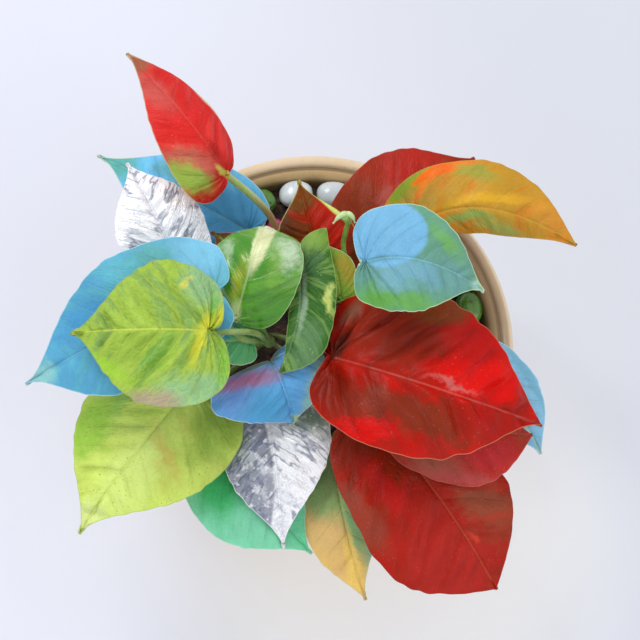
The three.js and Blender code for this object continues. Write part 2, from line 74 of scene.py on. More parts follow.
def linear(colour: Colour) -> tuple[float, float, float, float]:
    """Turn a screen colour of 0 to 255 into linear light for a shader, with an opacity of 1."""
    parts = [part / 255 for part in colour]
    return (*(p / 12.92 if p <= 0.04045 else ((p + 0.055) / 1.055) ** 2.4 for p in parts), 1.0)


def ease(value: float, low: float, high: float) -> float:
    """Rise smoothly from 0 at low to 1 at high, or fall where high is the lower."""
    t = min(max((value - low) / (high - low), 0.0), 1.0)
    return t * t * (3 - 2 * t)


# Shader wires


class Wire:
    """The output of a node, on which Python arithmetic adds Math nodes."""

    def __init__(self, board: "Board", socket: bpy.types.NodeSocket) -> None:
        """Keep the board that the wire belongs to, and the socket that it leaves."""
        self.board = board
        self.socket = socket

    def _math(self, operation: str, first: "Value", second: "Value" = 0.0) -> "Wire":
        """Add one Math node, with a second value where it has one."""
        return self.board.node("ShaderNodeMath", {"operation": operation}, {0: first, 1: second})

    def __add__(self, other: "Value") -> "Wire":
        """Add."""
        return self._math("ADD", self, other)

    __radd__ = __add__

    def __sub__(self, other: "Value") -> "Wire":
        """Subtract."""
        return self._math("SUBTRACT", self, other)

    def __rsub__(self, other: "Value") -> "Wire":
        """Subtract this from a number."""
        return self._math("SUBTRACT", other, self)

    def __mul__(self, other: "Value") -> "Wire":
        """Multiply."""
        return self._math("MULTIPLY", self, other)

    __rmul__ = __mul__

    def __abs__(self) -> "Wire":
        """Drop the sign."""
        return self._math("ABSOLUTE", self)

    def fraction(self) -> "Wire":
        """Give what is left past the whole number below."""
        return self._math("FRACT", self)

    def ease(self, low: float, high: float) -> "Wire":
        """Rise smoothly from 0 at low to 1 at high, or fall where low is above high."""
        span = {0: self, 1: low, 2: high}
        return self.board.node("ShaderNodeMapRange", {"interpolation_type": "SMOOTHSTEP"}, span)


Value = Wire | float


class Board:
    """The node tree of one material."""

    def __init__(self, name: str) -> None:
        """Start an empty material.

        Args:
            name: What the material is called.
        """
        self.material = bpy.data.materials.new(name)
        self.material.use_nodes = True
        self.tree = self.material.node_tree
        self.tree.nodes.clear()

    def node(self, kind: str, settings: dict | None = None, sockets: dict | None = None,
             output: int = 0) -> Wire | None:
        """Add a node, set it up and wire it.

        Args:
            kind: The node's type.
            settings: Its properties, set before its sockets.
            sockets: A value or a wire for each socket, by name or number.
            output: Which output to give back.

        Returns:
            The wire out of it, or nothing from a node without outputs.
        """
        made = self.tree.nodes.new(kind)
        for key, value in (settings or {}).items():
            setattr(made, key, value)
        for key, value in (sockets or {}).items():
            if isinstance(value, Wire):
                self.tree.links.new(value.socket, made.inputs[key])
            else:
                made.inputs[key].default_value = value
        return Wire(self, made.outputs[output]) if made.outputs else None

    def place(self) -> Wire:
        """Give the object's own coordinates."""
        return self.node("ShaderNodeTexCoord", output=3)

    def split(self, vector: Wire) -> tuple[Wire, Wire, Wire]:
        """Give the three parts of a vector."""
        node = self.node("ShaderNodeSeparateXYZ", None, {0: vector}).socket.node
        return tuple(Wire(self, socket) for socket in node.outputs)

    def join(self, x: Value, y: Value, z: Value = 0.0) -> Wire:
        """Make a vector of three values."""
        return self.node("ShaderNodeCombineXYZ", None, {0: x, 1: y, 2: z})

    def length(self, vector: Wire) -> Wire:
        """Give the length of a vector."""
        return self.node("ShaderNodeVectorMath", {"operation": "LENGTH"}, {0: vector}, output=1)

    def clouds(self, vector: Wire, scale: float, detail: float = 3.0, rough: float = 0.55) -> Wire:
        """Add a noise of 0 to 1, by its lumps to the unit, its finer layers and their strength."""
        sockets = {"Vector": vector, "Scale": scale, "Detail": detail, "Roughness": rough}
        return self.node("ShaderNodeTexNoise", None, sockets)

    def blend(self, mask: Value, first: "Wire | Colour", second: "Wire | Colour",
              how: str = "MIX") -> Wire:
        """Mix two colours.

        Args:
            mask: How much of the second colour, from 0 to 1.
            first: The colour where the mask is 0.
            second: The colour where the mask is 1.
            how: The Mix node's blend type.

        Returns:
            The mixed colour.
        """
        settings = {"data_type": "RGBA", "blend_type": how, "clamp_factor": True}
        pair = [c if isinstance(c, Wire) else linear(c) for c in (first, second)]
        return self.node("ShaderNodeMix", settings, {0: mask, 6: pair[0], 7: pair[1]}, output=2)

    def layer(self, colour: "Wire | Colour", *coats: "tuple[Value, Wire | Colour]") -> Wire:
        """Lay coats over a colour.

        Args:
            colour: The colour below.
            coats: The mask and the colour of each coat, the lowest first.

        Returns:
            The colour on top.
        """
        for mask, coat in coats:
            colour = self.blend(mask, colour, coat)
        return colour

    def shade(self, colour: Wire, light: Wire) -> Wire:
        """Make a colour lighter or darker by a value about 1."""
        return self.blend(1.0, colour, light, "MULTIPLY")

    def bump(self, height: Wire, distance: float) -> Wire:
        """Turn a relief of 0 to 1, which stands so many metres high, into a normal."""
        sockets = {"Strength": 1.0, "Distance": distance, "Height": height}
        return self.node("ShaderNodeBump", None, sockets)

    def finish(self, sockets: dict) -> bpy.types.Material:
        """Wire a Principled surface to the output.

        Args:
            sockets: A value or a wire for each of its sockets that isn't as usual.

        Returns:
            The material.
        """
        surface = self.node("ShaderNodeBsdfPrincipled", None, sockets)
        self.node("ShaderNodeOutputMaterial", None, {"Surface": surface})
        return self.material


# Modelling


class Bench:
    """Blender's modelling operators, used on one piece at a time."""

    @staticmethod
    def clear() -> None:
        """Leave edit mode and deselect everything."""
        if bpy.context.mode != "OBJECT":
            bpy.ops.object.mode_set(mode="OBJECT")
        bpy.ops.object.select_all(action="DESELECT")

    @classmethod
    def take(cls, piece: bpy.types.Object) -> None:
        """Select one piece alone and make it the active one.

        Args:
            piece: The piece.
        """
        cls.clear()
        piece.select_set(True)
        bpy.context.view_layer.objects.active = piece

    @classmethod
    def grid(cls, name: str, columns: int, rows: int,
             place: Callable[[int, int], Vector]) -> bpy.types.Object:
        """Add a grid and lay each of its corners where a formula says.

        Args:
            name: The piece's name.
            columns: Faces along its first side.
            rows: Faces along its second side.
            place: Gives the place of a corner, by its column and row.

        Returns:
            The piece, at the origin.
        """
        cls.clear()
        bpy.ops.mesh.primitive_grid_add(x_subdivisions=columns, y_subdivisions=rows, size=1.0)
        piece = bpy.context.active_object
        piece.name = name
        for vertex in piece.data.vertices:
            column = round((vertex.co.x + 0.5) * columns)
            row = round((vertex.co.y + 0.5) * rows)
            vertex.co = place(column, row)
        return piece

    @classmethod
    def close(cls, piece: bpy.types.Object, fill: bool = False, turn: bool = False) -> None:
        """Merge the corners of a piece that meet.

        Args:
            piece: The piece.
            fill: Whether open ends are closed too.
            turn: Whether its faces are turned outwards.
        """
        cls.take(piece)
        bpy.ops.object.mode_set(mode="EDIT")
        bpy.ops.mesh.select_all(action="SELECT")
        bpy.ops.mesh.remove_doubles(threshold=MEETING * MM)
        if fill:
            bpy.ops.mesh.select_all(action="SELECT")
            bpy.ops.mesh.fill_holes(sides=0)
        if turn:
            bpy.ops.mesh.select_all(action="SELECT")
            bpy.ops.mesh.normals_make_consistent(inside=False)
        bpy.ops.object.mode_set(mode="OBJECT")

    @classmethod
    def smooth(cls, piece: bpy.types.Object, angle: float) -> None:
        """Shade a piece smooth, with the edges kept that turn by more degrees than that."""
        cls.take(piece)
        bpy.ops.object.shade_smooth_by_angle(angle=math.radians(angle))

    @classmethod
    def settle(cls, piece: bpy.types.Object) -> None:
        """Put a piece's place, turn and size into its mesh."""
        cls.take(piece)
        bpy.ops.object.transform_apply(location=True, rotation=True, scale=True)

    @classmethod
    def weld(cls, pieces: list[bpy.types.Object], name: str) -> bpy.types.Object:
        """Join pieces as one.

        Args:
            pieces: What is joined.
            name: The name of the piece that they become.

        Returns:
            The joined piece.
        """
        cls.clear()
        for piece in pieces:
            piece.select_set(True)
        bpy.context.view_layer.objects.active = pieces[0]
        bpy.ops.object.join()
        joined = bpy.context.active_object
        joined.name = name
        return joined


def stand_for(piece: bpy.types.Object, slot: str, node: str | None = None) -> None:
    """Let a piece ride on the plant, and hide the node that it stands for.

    Args:
        piece: The finished piece.
        slot: Not used.
        node: The node that it replaces, if any.
    """
    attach(piece, BODY)
    if node is not None:
        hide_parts(node)
    LOG.info("%s: %d faces", piece.name, len(piece.data.polygons))


# Curves


class Route:
    """A curve in space, read by its length."""

    def __init__(self, points: list[Vector]) -> None:
        """Measure a curve that is given as many close points.

        Args:
            points: The points, in metres.
        """
        self.points = points
        self.marks = [0.0]
        for a, b in zip(points, points[1:]):
            self.marks.append(self.marks[-1] + (b - a).length)
        self.length = self.marks[-1]

    def at(self, part: float) -> Vector:
        """Find a point of the curve.

        Args:
            part: How much of the length lies behind it, from 0 to 1.

        Returns:
            The point.
        """
        goal = min(max(part, 0.0), 1.0) * self.length
        low, high = 0, len(self.marks) - 1
        while high - low > 1:
            middle = (low + high) // 2
            if self.marks[middle] <= goal:
                low = middle
            else:
                high = middle
        span = self.marks[high] - self.marks[low]
        mix = (goal - self.marks[low]) / span if span else 0.0
        return self.points[low].lerp(self.points[high], mix)

    def heading(self, part: float) -> Vector:
        """Give the direction of the curve at a part of its length."""
        return (self.at(part + NEARBY) - self.at(part - NEARBY)).normalized()


def rib_route(points: tuple[Point, ...], steps: int = 400) -> Route:
    """Run a midrib through a few points at even steps of its parameter.

    Args:
        points: The points, in millimetres.
        steps: How many short pieces it is measured in.

    Returns:
        The route, in metres.
    """
    corners = [Vector(point) * MM for point in points]
    last = len(corners) - 1
    places = []
    for step in range(steps + 1):
        t = step / steps * last
        place = Vector()
        for i, corner in enumerate(corners):
            weight = 1.0
            for k in range(last + 1):
                if k != i:
                    weight *= (t - k) / (i - k)
            place += corner * weight
        places.append(place)
    return Route(places)


def stem_route(corners: list[Vector], steps: int = 40) -> Route:
    """Run a smooth stem through points, with bends that don't swing wide.

    Args:
        corners: The points, in metres.
        steps: How many short pieces lie between two of them.

    Returns:
        The route.
    """
    ends = [corners[0] * 2 - corners[1], *corners, corners[-1] * 2 - corners[-2]]
    places = [corners[0]]
    for p0, p1, p2, p3 in zip(ends, ends[1:], ends[2:], ends[3:]):
        knots = [0.0]
        for a, b in ((p0, p1), (p1, p2), (p2, p3)):
            knots.append(knots[-1] + max((b - a).length, SHORTEST) ** 0.5)
        for step in range(1, steps + 1):
            t = knots[1] + (knots[2] - knots[1]) * step / steps

            def between(a: Vector, b: Vector, i: int, k: int) -> Vector:
                """Mix two points by where t lies between two knots."""
                return a.lerp(b, (t - knots[i]) / (knots[k] - knots[i]))

            first = between(between(p0, p1, 0, 1), between(p1, p2, 1, 2), 0, 2)
            second = between(between(p1, p2, 1, 2), between(p2, p3, 2, 3), 1, 3)
            places.append(between(first, second, 1, 2))
    return Route(places)


def grow_stem(name: str, route: Route, radius: Callable[[float], float], rings: int,
              sides: int = 14) -> bpy.types.Object:
    """Roll a grid round a route, with a thickness that changes along it.

    Args:
        name: The piece's name.
        route: The middle of the stem.
        radius: Gives its radius in metres at a part of its length, from 0 to 1.
        rings: How many faces it is long.
        sides: How many faces it is round.

    Returns:
        The closed stem.
    """
    frames = []
    side = None
    for ring in range(rings + 1):
        part = ring / rings
        ahead = route.heading(part)
        if side is None:
            side = ahead.orthogonal().normalized()
        side = (side - ahead * side.dot(ahead)).normalized()
        frames.append((route.at(part), side, ahead.cross(side), radius(part)))

    def place(column: int, row: int) -> Vector:
        """Give a corner of the stem."""
        middle, across, up, thick = frames[column]
        angle = 2 * math.pi * row / sides
        return middle + (across * math.cos(angle) + up * math.sin(angle)) * thick

    stem = Bench.grid(name, rings, sides, place)
    Bench.close(stem, fill=True, turn=True)
    Bench.smooth(stem, 60)
    return stem


# Leaves


@dataclass(frozen=True)
class Half:
    """One half of a leaf's outline, and how it rolls away from the midrib."""

    wide: float
    at: float
    lobe: float
    out: float
    lift: float
    curl: float
    full: float


@dataclass(frozen=True)
class Spot:
    """A patch of sprayed paint, round about a point of the flat leaf; a few are painted highlights."""

    colour: Colour
    x: float
    y: float
    long: float
    broad: float
    turn: float = 0.0
    soft: float = 0.5
    ragged: float = 2.0
    strength: float = 1.0


class Sheen(Enum):
    """How a leaf's paint or skin shines: roughness, metal and the strength of its gloss."""

    SATIN = (0.38, 0.0, 0.12)
    GLOSSY = (0.2, 0.0, 0.3)
    FOIL = (0.26, 0.12, 0.6)


@dataclass(frozen=True)
class Paint:
    """The colours of one leaf."""

    base: Colour
    streak: Colour
    streaks: float = 0.4
    edge: Colour = (222, 226, 196)
    vein: Colour = (200, 220, 120)
    veins: float = 0.15
    midrib: float = 0.4
    dots: Colour = (70, 70, 30)
    dotted: float = 0.2
    sheen: Sheen = Sheen.SATIN
    cells: float = 5.0
    emboss: float = 0.35
    # how much painted shade darkens the folds and the side-vein grooves
    groove_shade: float = 0.04


@dataclass(frozen=True)
class Stalk:
    """Where a leaf stalk leaves its vine, and the point that it bends through."""

    vine: str
    start: float
    via: Point
    radius: float = 1.2


@dataclass(frozen=True)
class LeafPaint:
    """The shader of a painted leaf, on the leaf's own flat coordinates, with painted shade in its folds
    and grooves, and painted shade and highlights on crumpled foil.
    """

    paint: Paint
    name: str
    underside: bool = False
    ragged_reach: float = 4.0
    relief_height: float = 0.24
    pale_back: Colour = (150, 170, 120)
    # painted shade in the folds and creases, and painted highlights on the facets, of crumpled foil
    fold_shade: Colour = (92, 102, 130)
    crease: Colour = (120, 128, 150)
    glint: Colour = (254, 254, 255)

    def material(self) -> bpy.types.Material:
        """Build the shader.

        Returns:
            The material of the leaf's face, or of its underside.
        """
        board = Board(f"{self.name}_{'under' if self.underside else 'face'}")
        paint = self.paint
        rough, metal, gloss = paint.sheen.value
        foil = paint.sheen is Sheen.FOIL
        place = board.place()
        flat = board.node("ShaderNodeAttribute", {"attribute_name": "flat"}, output=1)
        margin = board.node("ShaderNodeAttribute", {"attribute_name": "margin"}, output=2)
        x, y, vein = board.split(flat)
        drift, drift_more = (board.clouds(place, scale, 5, 0.7) - 0.5 for scale in (150, 90))
        grain = board.clouds(place, 900, 3, 0.6)
        cloud = board.clouds(place, 55, 4, 0.6)

        brushed = board.join(vein * 2.1 + drift * 0.5, y * 0.08, x * 0.012)
        strokes = board.clouds(brushed, 1.0, 3, 0.5)
        colour = board.blend(strokes.ease(0.47, 0.62) * paint.streaks, paint.base, paint.streak)
        for spot in PATCHES[self.name]:
            reach = spot.ragged * self.ragged_reach
            colour = self.spray(board, colour, spot, x + drift * reach, y + drift_more * reach)
        # crumpled foil: painted shade in its folds and painted highlights on its facets
        if foil:
            colour = self.crumple(board, colour, place, board.join(vein * 1.5, y * 0.13, x * 0.02))

        near_vein = abs((vein + 0.5).fraction() - 0.5)
        fade = margin.ease(0.4, 5.0)
        side_veins = near_vein.ease(0.06, 0.005) * fade
        rib_line = abs(y).ease(0.75, 0.1) * x.ease(-0.5, 1.5)
        net = board.node("ShaderNodeTexVoronoi", {"feature": "DISTANCE_TO_EDGE"}, {
            "Vector": board.join(vein * paint.cells + drift * 2, y * 0.34 + drift_more * 2),
            "Scale": 1.0})
        dust = board.clouds(place, 1500, 1, 0.5).ease(0.68, 0.76)
        coats = [(side_veins * paint.veins, paint.vein), (rib_line * paint.midrib, paint.vein),
                 (dust * paint.dotted * cloud.ease(0.42, 0.6), paint.dots)]
        if paint.emboss > 0.4:
            coats.insert(2, (net.ease(0.14, 0.0) * 0.2, paint.vein))
        colour = board.layer(colour, *coats)
        tone = (cloud - 0.5) * 2 + (grain - 0.5) + drift + drift_more
        tone = 1.0 + tone * (0.08 if foil else 0.2)
        # painted shade: darker in the folds and along the side-vein grooves
        fold_shade_mask = near_vein.ease(0.34, 0.0) * strokes.ease(0.4, 0.6) * fade
        colour = board.shade(colour, tone - (fold_shade_mask * 1.6 + side_veins * 0.4) * paint.groove_shade)
        colour = board.blend(margin.ease(0.45, 0.1) * 0.7, colour, paint.edge)
        if self.underside:
            colour = board.blend(0.35, colour, self.pale_back)

        relief = grain * 0.25 + net.ease(0.0, 0.3) * paint.emboss - side_veins * 0.45
        relief = relief - rib_line * 0.8 + drift * 1.2
        if foil:
            relief = relief + abs(board.clouds(brushed, 1.6, 3, 0.6) - 0.5) * 2.5
        sockets = {"Base Color": colour, "Metallic": metal, "Coat Roughness": 0.12,
                   "Roughness": rough + (grain - 0.5) * 0.12 + (cloud - 0.5) * 0.16,
                   "Normal": board.bump(relief, self.relief_height * MM),
                   "Specular IOR Level": gloss}
        if paint.sheen is Sheen.GLOSSY:
            sockets["Coat Weight"] = 0.5
        return board.finish(sockets)

    def crumple(self, board: Board, colour: Wire, place: Wire, brushed: Wire) -> Wire:
        """Draw painted shade in the folds and creases and painted highlights on the facets of crumpled
        foil over a colour.

        Args:
            board: The material's node tree.
            colour: The colour so far.
            place: The object's own coordinates.
            brushed: Coordinates that are long along the side veins.

        Returns:
            The colour with the folds on it.
        """
        fine = board.clouds(place, 380, 4, 0.65)
        patch = board.clouds(place, 70, 2)
        fold_shade_mask = abs(board.clouds(brushed, 1.0, 2, 0.5) - 0.52).ease(0.075, 0.0)
        crease_shade_mask = abs(fine - 0.5).ease(0.035, 0.0) * patch.ease(0.5, 0.44)
        # painted shade in the folds and creases, then painted highlights on the bright facets
        return board.layer(
            colour, (fold_shade_mask * patch.ease(0.42, 0.52) * 0.75, self.fold_shade),
            (crease_shade_mask * 0.4, self.crease), (fine.ease(0.53, 0.66) * 0.7, self.glint))

    @staticmethod
    def spray(board: Board, colour: Wire, spot: Spot, x: Wire, y: Wire) -> Wire:
        """Lay one patch of paint over a colour, also where the patch is a painted highlight.

        Args:
            board: The material's node tree.
            colour: The colour so far.
            spot: The patch.
            x: Place along the leaf, in millimetres.
            y: Place out from the midrib.

        Returns:
            The colour with the patch on it.
        """
        turned = board.node("ShaderNodeMapping", {"vector_type": "TEXTURE"}, {
            "Vector": board.join(x, y), "Location": (spot.x, spot.y, 0.0),
            "Rotation": (0.0, 0.0, math.radians(spot.turn)),
            "Scale": (spot.long, spot.broad, 1.0)})
        mask = board.length(turned).ease(1 + spot.soft, 1 - spot.soft)
        return board.blend(mask * spot.strength, colour, spot.colour)


@dataclass(frozen=True)
class Relief:
    """How a blade's face swells and sinks: heights, and the sizes of its lumps, in millimetres."""

    groove: float = 0.7
    groove_wide: float = 0.8
    rolling: float = 0.6
    rolling_size: float = 11.0
    wrinkle: float = 1.5
    wrinkle_size: float = 13.0
    wrinkles_a_vein: float = 2.3
    crumple: float = 0.7
    crumple_size: float = 7.0
    crumples_a_vein: float = 4.0
    sway: float = 1.6
    sway_size: float = 17.0
    keel_wide: float = 1.5
    flesh: float = 0.42
    keel: float = 0.58
    thinner_out: float = 0.12

    @staticmethod
    def lump(size: float, x: float, y: float, seed: float) -> float:
        """Read a smooth noise of -1 to 1, with lumps of a size."""
        return noise.noise(Vector((x / size, y / size, seed)))


@dataclass
class Leaf:
    """A painted blade on its stalk."""

    name: str
    rib: tuple[Point, ...]
    left: Half
    right: Half
    wave: tuple[float, float, float]
    stalk: Stalk
    paint: Paint
    quilt: float = 0.35
    wrinkle: float = 0.5
    uneven: float = 0.03
    sinus: float = 0.9
    slant: float = 0.65
    bow: float = 0.22
    veins: float = 7.0
    fan_turn: float = 26.0
    fan: int = 30
    ladder: int = 72
    rings: int = 18
    crowding: float = 1.35
    outline: tuple[int, int, int] = (16, 48, 64)
    thick: float = 1.3
    middle: float = 0.3
    face: Relief = Relief()
    sharp: float = 50.0
    route: Route = field(init=False)

    def __post_init__(self) -> None:
        """Measure the midrib."""
        self.route = rib_route(self.rib)

    @property
    def length(self) -> float:
        """The midrib's length in millimetres."""
        return self.route.length / MM

    def margin(self, half: Half) -> list[tuple[float, float]]:
        """Give one half's outline as many points, from the sinus to the tip.

        Args:
            half: The half.

        Returns:
            The flat points.
        """
        broad = half.at * self.length
        back = (-half.lobe, half.out)
        side = (broad, half.wide)
        curves = [
            ((-0.45 * half.lobe, self.sinus), (-0.9 * half.lobe, self.sinus + 0.05 * half.out),
             (-half.lobe, 0.6 * half.out), back),
            (back, (-half.lobe, half.out + 0.6 * (half.wide - half.out)),
             (broad - 0.55 * (broad + half.lobe), half.wide), side),
            (side, (broad + 0.5 * (self.length - broad), half.wide),
             (self.length - 0.35 * (self.length - broad), half.full * half.wide),
             (self.length, 0.0)),
        ]
        points = []
        for (a, b, c, d), steps in zip(curves, self.outline):
            for step in range(1 if points else 0, steps + 1):
                t = step / steps
                weights = ((1 - t) ** 3, 3 * t * (1 - t) ** 2, 3 * t * t * (1 - t), t ** 3)
                points.append(tuple(
                    sum(w * p[k] for w, p in zip(weights, (a, b, c, d))) for k in (0, 1)))
        return points

    def lines(self, half: Half) -> list[tuple[float, float, float]]:
        """Give the lines that run from the midrib out to one half's margin.

        Args:
            half: The half.

        Returns:
            For each, where it starts on the midrib and where it ends: a fan from the stalk
            first, and then a ladder of slanting lines up to the tip.
        """
        points = self.margin(half)
        starts = [x - self.slant * y for x, y in points]
        last = len(points) - 1
        first = last
        while first > 0 and starts[first - 1] > 0:
            first -= 1

        def at(place: float) -> tuple[float, float]:
            """Give the outline at a fractional point number.

            Args:
                place: The number.

            Returns:
                The flat point there.
            """
            i = min(int(place), last - 1)
            mix = place - i
            (ax, ay), (bx, by) = points[i], points[i + 1]
            return ax + mix * (bx - ax), ay + mix * (by - ay)

        def where(start: float) -> float:
            """Find the outline point whose line leaves the midrib at a place.

            Args:
                start: The place, in millimetres from the stalk.

            Returns:
                The fractional number of the point.
            """
            i = max(first, 1)
            while i < last and starts[i] < start:
                i += 1
            return i - 1 + (start - starts[i - 1]) / (starts[i] - starts[i - 1])

        heel = where(0.0)
        found = [(0.0, *at(heel * i / self.fan)) for i in range(self.fan + 1)]
        for i in range(1, self.ladder):
            start = self.length * i / self.ladder
            found.append((start, *at(where(start))))
        found.append((self.length, self.length, 0.0))
        return found

    def vein_number(self, x: float, y: float) -> float:
        """Count side veins up to a flat point, with whole numbers on the veins.

        Args:
            x: Along the midrib.
            y: Out from it, 0 or more.

        Returns:
            The count, above 0 up the blade and below 0 round the lobe.
        """
        wide = max(self.left.wide, self.right.wide)
        lag = self.bow * y * y / wide
        ahead = x - self.slant * y - lag
        if ahead >= 0 or y <= 0:
            return max(ahead, 0.0) / (self.length / self.veins)
        start = math.atan2(1.0, self.slant)
        return -(math.atan2(y, x - lag) - start) / math.radians(self.fan_turn)

    def relief(self, x: float, y: float, t: float, vein: float, seed: float) -> float:
        """Give how far the face swells or sinks, in millimetres.

        Args:
            x: Along the midrib.
            y: Out from it, 0 or more.
            t: From 0 on the midrib to 1 on the margin.
            vein: The count of side veins.
            seed: Where this half reads its noise.

        Returns:
            The height, above 0 towards the light.
        """
        face = self.face
        crease = (0.5 + 0.5 * math.cos(2 * math.pi * vein)) ** 3
        shelter = ease(t, 0.0, 0.15) * ease(t, 1.0, 0.55)
        groove = face.groove * math.exp(-(y / face.groove_wide) ** 2) * ease(x, -2.0, 1.0)
        groove *= 1 - 0.7 * max(x, 0.0) / self.length
        rolling = face.lump(face.rolling_size, x, y, seed) * face.rolling * ease(t, 0.0, 0.4)
        place = Vector((vein * face.wrinkles_a_vein, y / face.wrinkle_size, seed))
        crumple = self.wrinkle * noise.noise(place) * face.wrinkle * shelter
        if self.paint.sheen is Sheen.FOIL:
            place = Vector((vein * face.crumples_a_vein, y / face.crumple_size, seed))
            crumple += noise.noise(place) * face.crumple * shelter
        return self.quilt * (0.4 - crease) * shelter - groove + rolling * ease(t, 1.0, 0.8) + crumple

    def bend(self, half: Half, side: int, x: float, y: float, rise: float) -> Vector:
        """Lay a flat point on the leaf as it grows.

        Args:
            half: The half that it is on.
            side: 1 on the left and -1 on the right.
            x: Along the midrib.
            y: Out from it, 0 or more.
            rise: How far above the middle of the blade.

        Returns:
            Its place in metres.
        """
        along = min(max(x / self.length, 0.0), 1.0)
        spine = self.route.at(along)
        ahead = self.route.heading(along)
        up = (Vector((0, 0, 1)) - ahead * ahead.z).normalized()
        across = up.cross(ahead) * side
        lift = math.radians(half.lift)
        turn = math.radians(half.curl) / half.wide
        angle = lift + turn * y
        outward = (math.sin(angle) - math.sin(lift)) / turn
        upward = (math.cos(lift) - math.cos(angle)) / turn
        height, count, phase = self.wave
        upward += height * (y / half.wide) ** 2 * math.sin(2 * math.pi * count * along + phase)
        outward -= rise * math.sin(angle)
        upward += rise * math.cos(angle)
        return spine + (ahead * min(x, 0.0) + across * outward + up * upward) * MM

    def build(self) -> None:
        """Model the blade and paint it."""
        halves = {1: self.left, -1: self.right}
        lines = {side: self.lines(half) for side, half in halves.items()}
        columns = self.fan + self.ladder
        facts: dict[tuple[int, int], Fact] = {}

        def place(column: int, row: int) -> Vector:
            """Give a corner of the blade's middle, and note where it lies on the flat leaf.

            Args:
                column: How far along the outline, from the stalk's left side.
                row: How far across, with the midrib half way.

            Returns:
                Its place, in metres.
            """
            side = 1 if row >= self.rings else -1
            t = (abs(row - self.rings) / self.rings) ** self.crowding
            start, end_x, end_y = lines[side][column]
            nick = noise.noise(Vector((column / 5, side * 9, self.rib[0][0]))) * self.uneven
            t_out = t * (1 + nick * ease(t, 0.5, 1.0))
            x, y = start + t_out * (end_x - start), t_out * end_y
            seed = 3.7 * side + sum(self.rib[0]) * 0.11
            sway = self.face.sway * self.face.lump(self.face.sway_size, x, y, seed + 5)
            vein = self.vein_number(x + sway * ease(t, 0.0, 0.3), y)
            rise = self.relief(x, y, t, vein, seed)
            facts[column, row] = (x, side * y, vein, (1 - t) * math.hypot(end_x - start, end_y), t)
            return self.bend(halves[side], side, x, y, rise + self.middle)

        blade = Bench.grid(f"blade_{self.name}", columns, 2 * self.rings, place)
        self.note(blade, columns, facts)
        Bench.close(blade)
        self.thicken(blade)
        blade.data.materials.clear()
        for underside in (False, True):
            blade.data.materials.append(LeafPaint(self.paint, self.name, underside).material())
        stand_for(blade, f"leaf_{self.name}", f"leaf_{self.name}")

    def note(self, blade: bpy.types.Object, columns: int,
             facts: dict[tuple[int, int], Fact]) -> None:
        """Keep each corner's place on the flat leaf with the mesh.

        Args:
            blade: The blade, before its corners are merged.
            columns: How many faces it is long.
            facts: What was noted of each corner, by column and row.
        """
        face = self.face
        mesh = blade.data
        mesh.attributes.new("flat", "FLOAT_VECTOR", "POINT")
        mesh.attributes.new("margin", "FLOAT", "POINT")
        weight = blade.vertex_groups.new(name="flesh")
        across = columns + 1
        for index in range(len(mesh.vertices)):
            x, y, vein, edge, t = facts[index % across, index // across]
            mesh.attributes["flat"].data[index].vector = (x, y, vein)
            mesh.attributes["margin"].data[index].value = edge
            rib = math.exp(-(y / face.keel_wide) ** 2) * (1 - 0.75 * max(x, 0.0) / self.length)
            weight.add([index], face.flesh + face.keel * rib - face.thinner_out * t, "REPLACE")

    def thicken(self, blade: bpy.types.Object) -> None:
        """Give the blade its thickness, with a keel under the midrib.

        Args:
            blade: The blade.
        """
        Bench.take(blade)
        for _ in range(2):
            blade.data.materials.append(None)
        skin = blade.modifiers.new("Flesh", "SOLIDIFY")
        skin.thickness = self.thick * MM
        skin.offset = -1.0
        skin.vertex_group = "flesh"
        skin.thickness_vertex_group = 0.0
        skin.use_even_offset = False
        skin.material_offset = 1
        bpy.ops.object.modifier_apply(modifier=skin.name)
        Bench.smooth(blade, self.sharp)
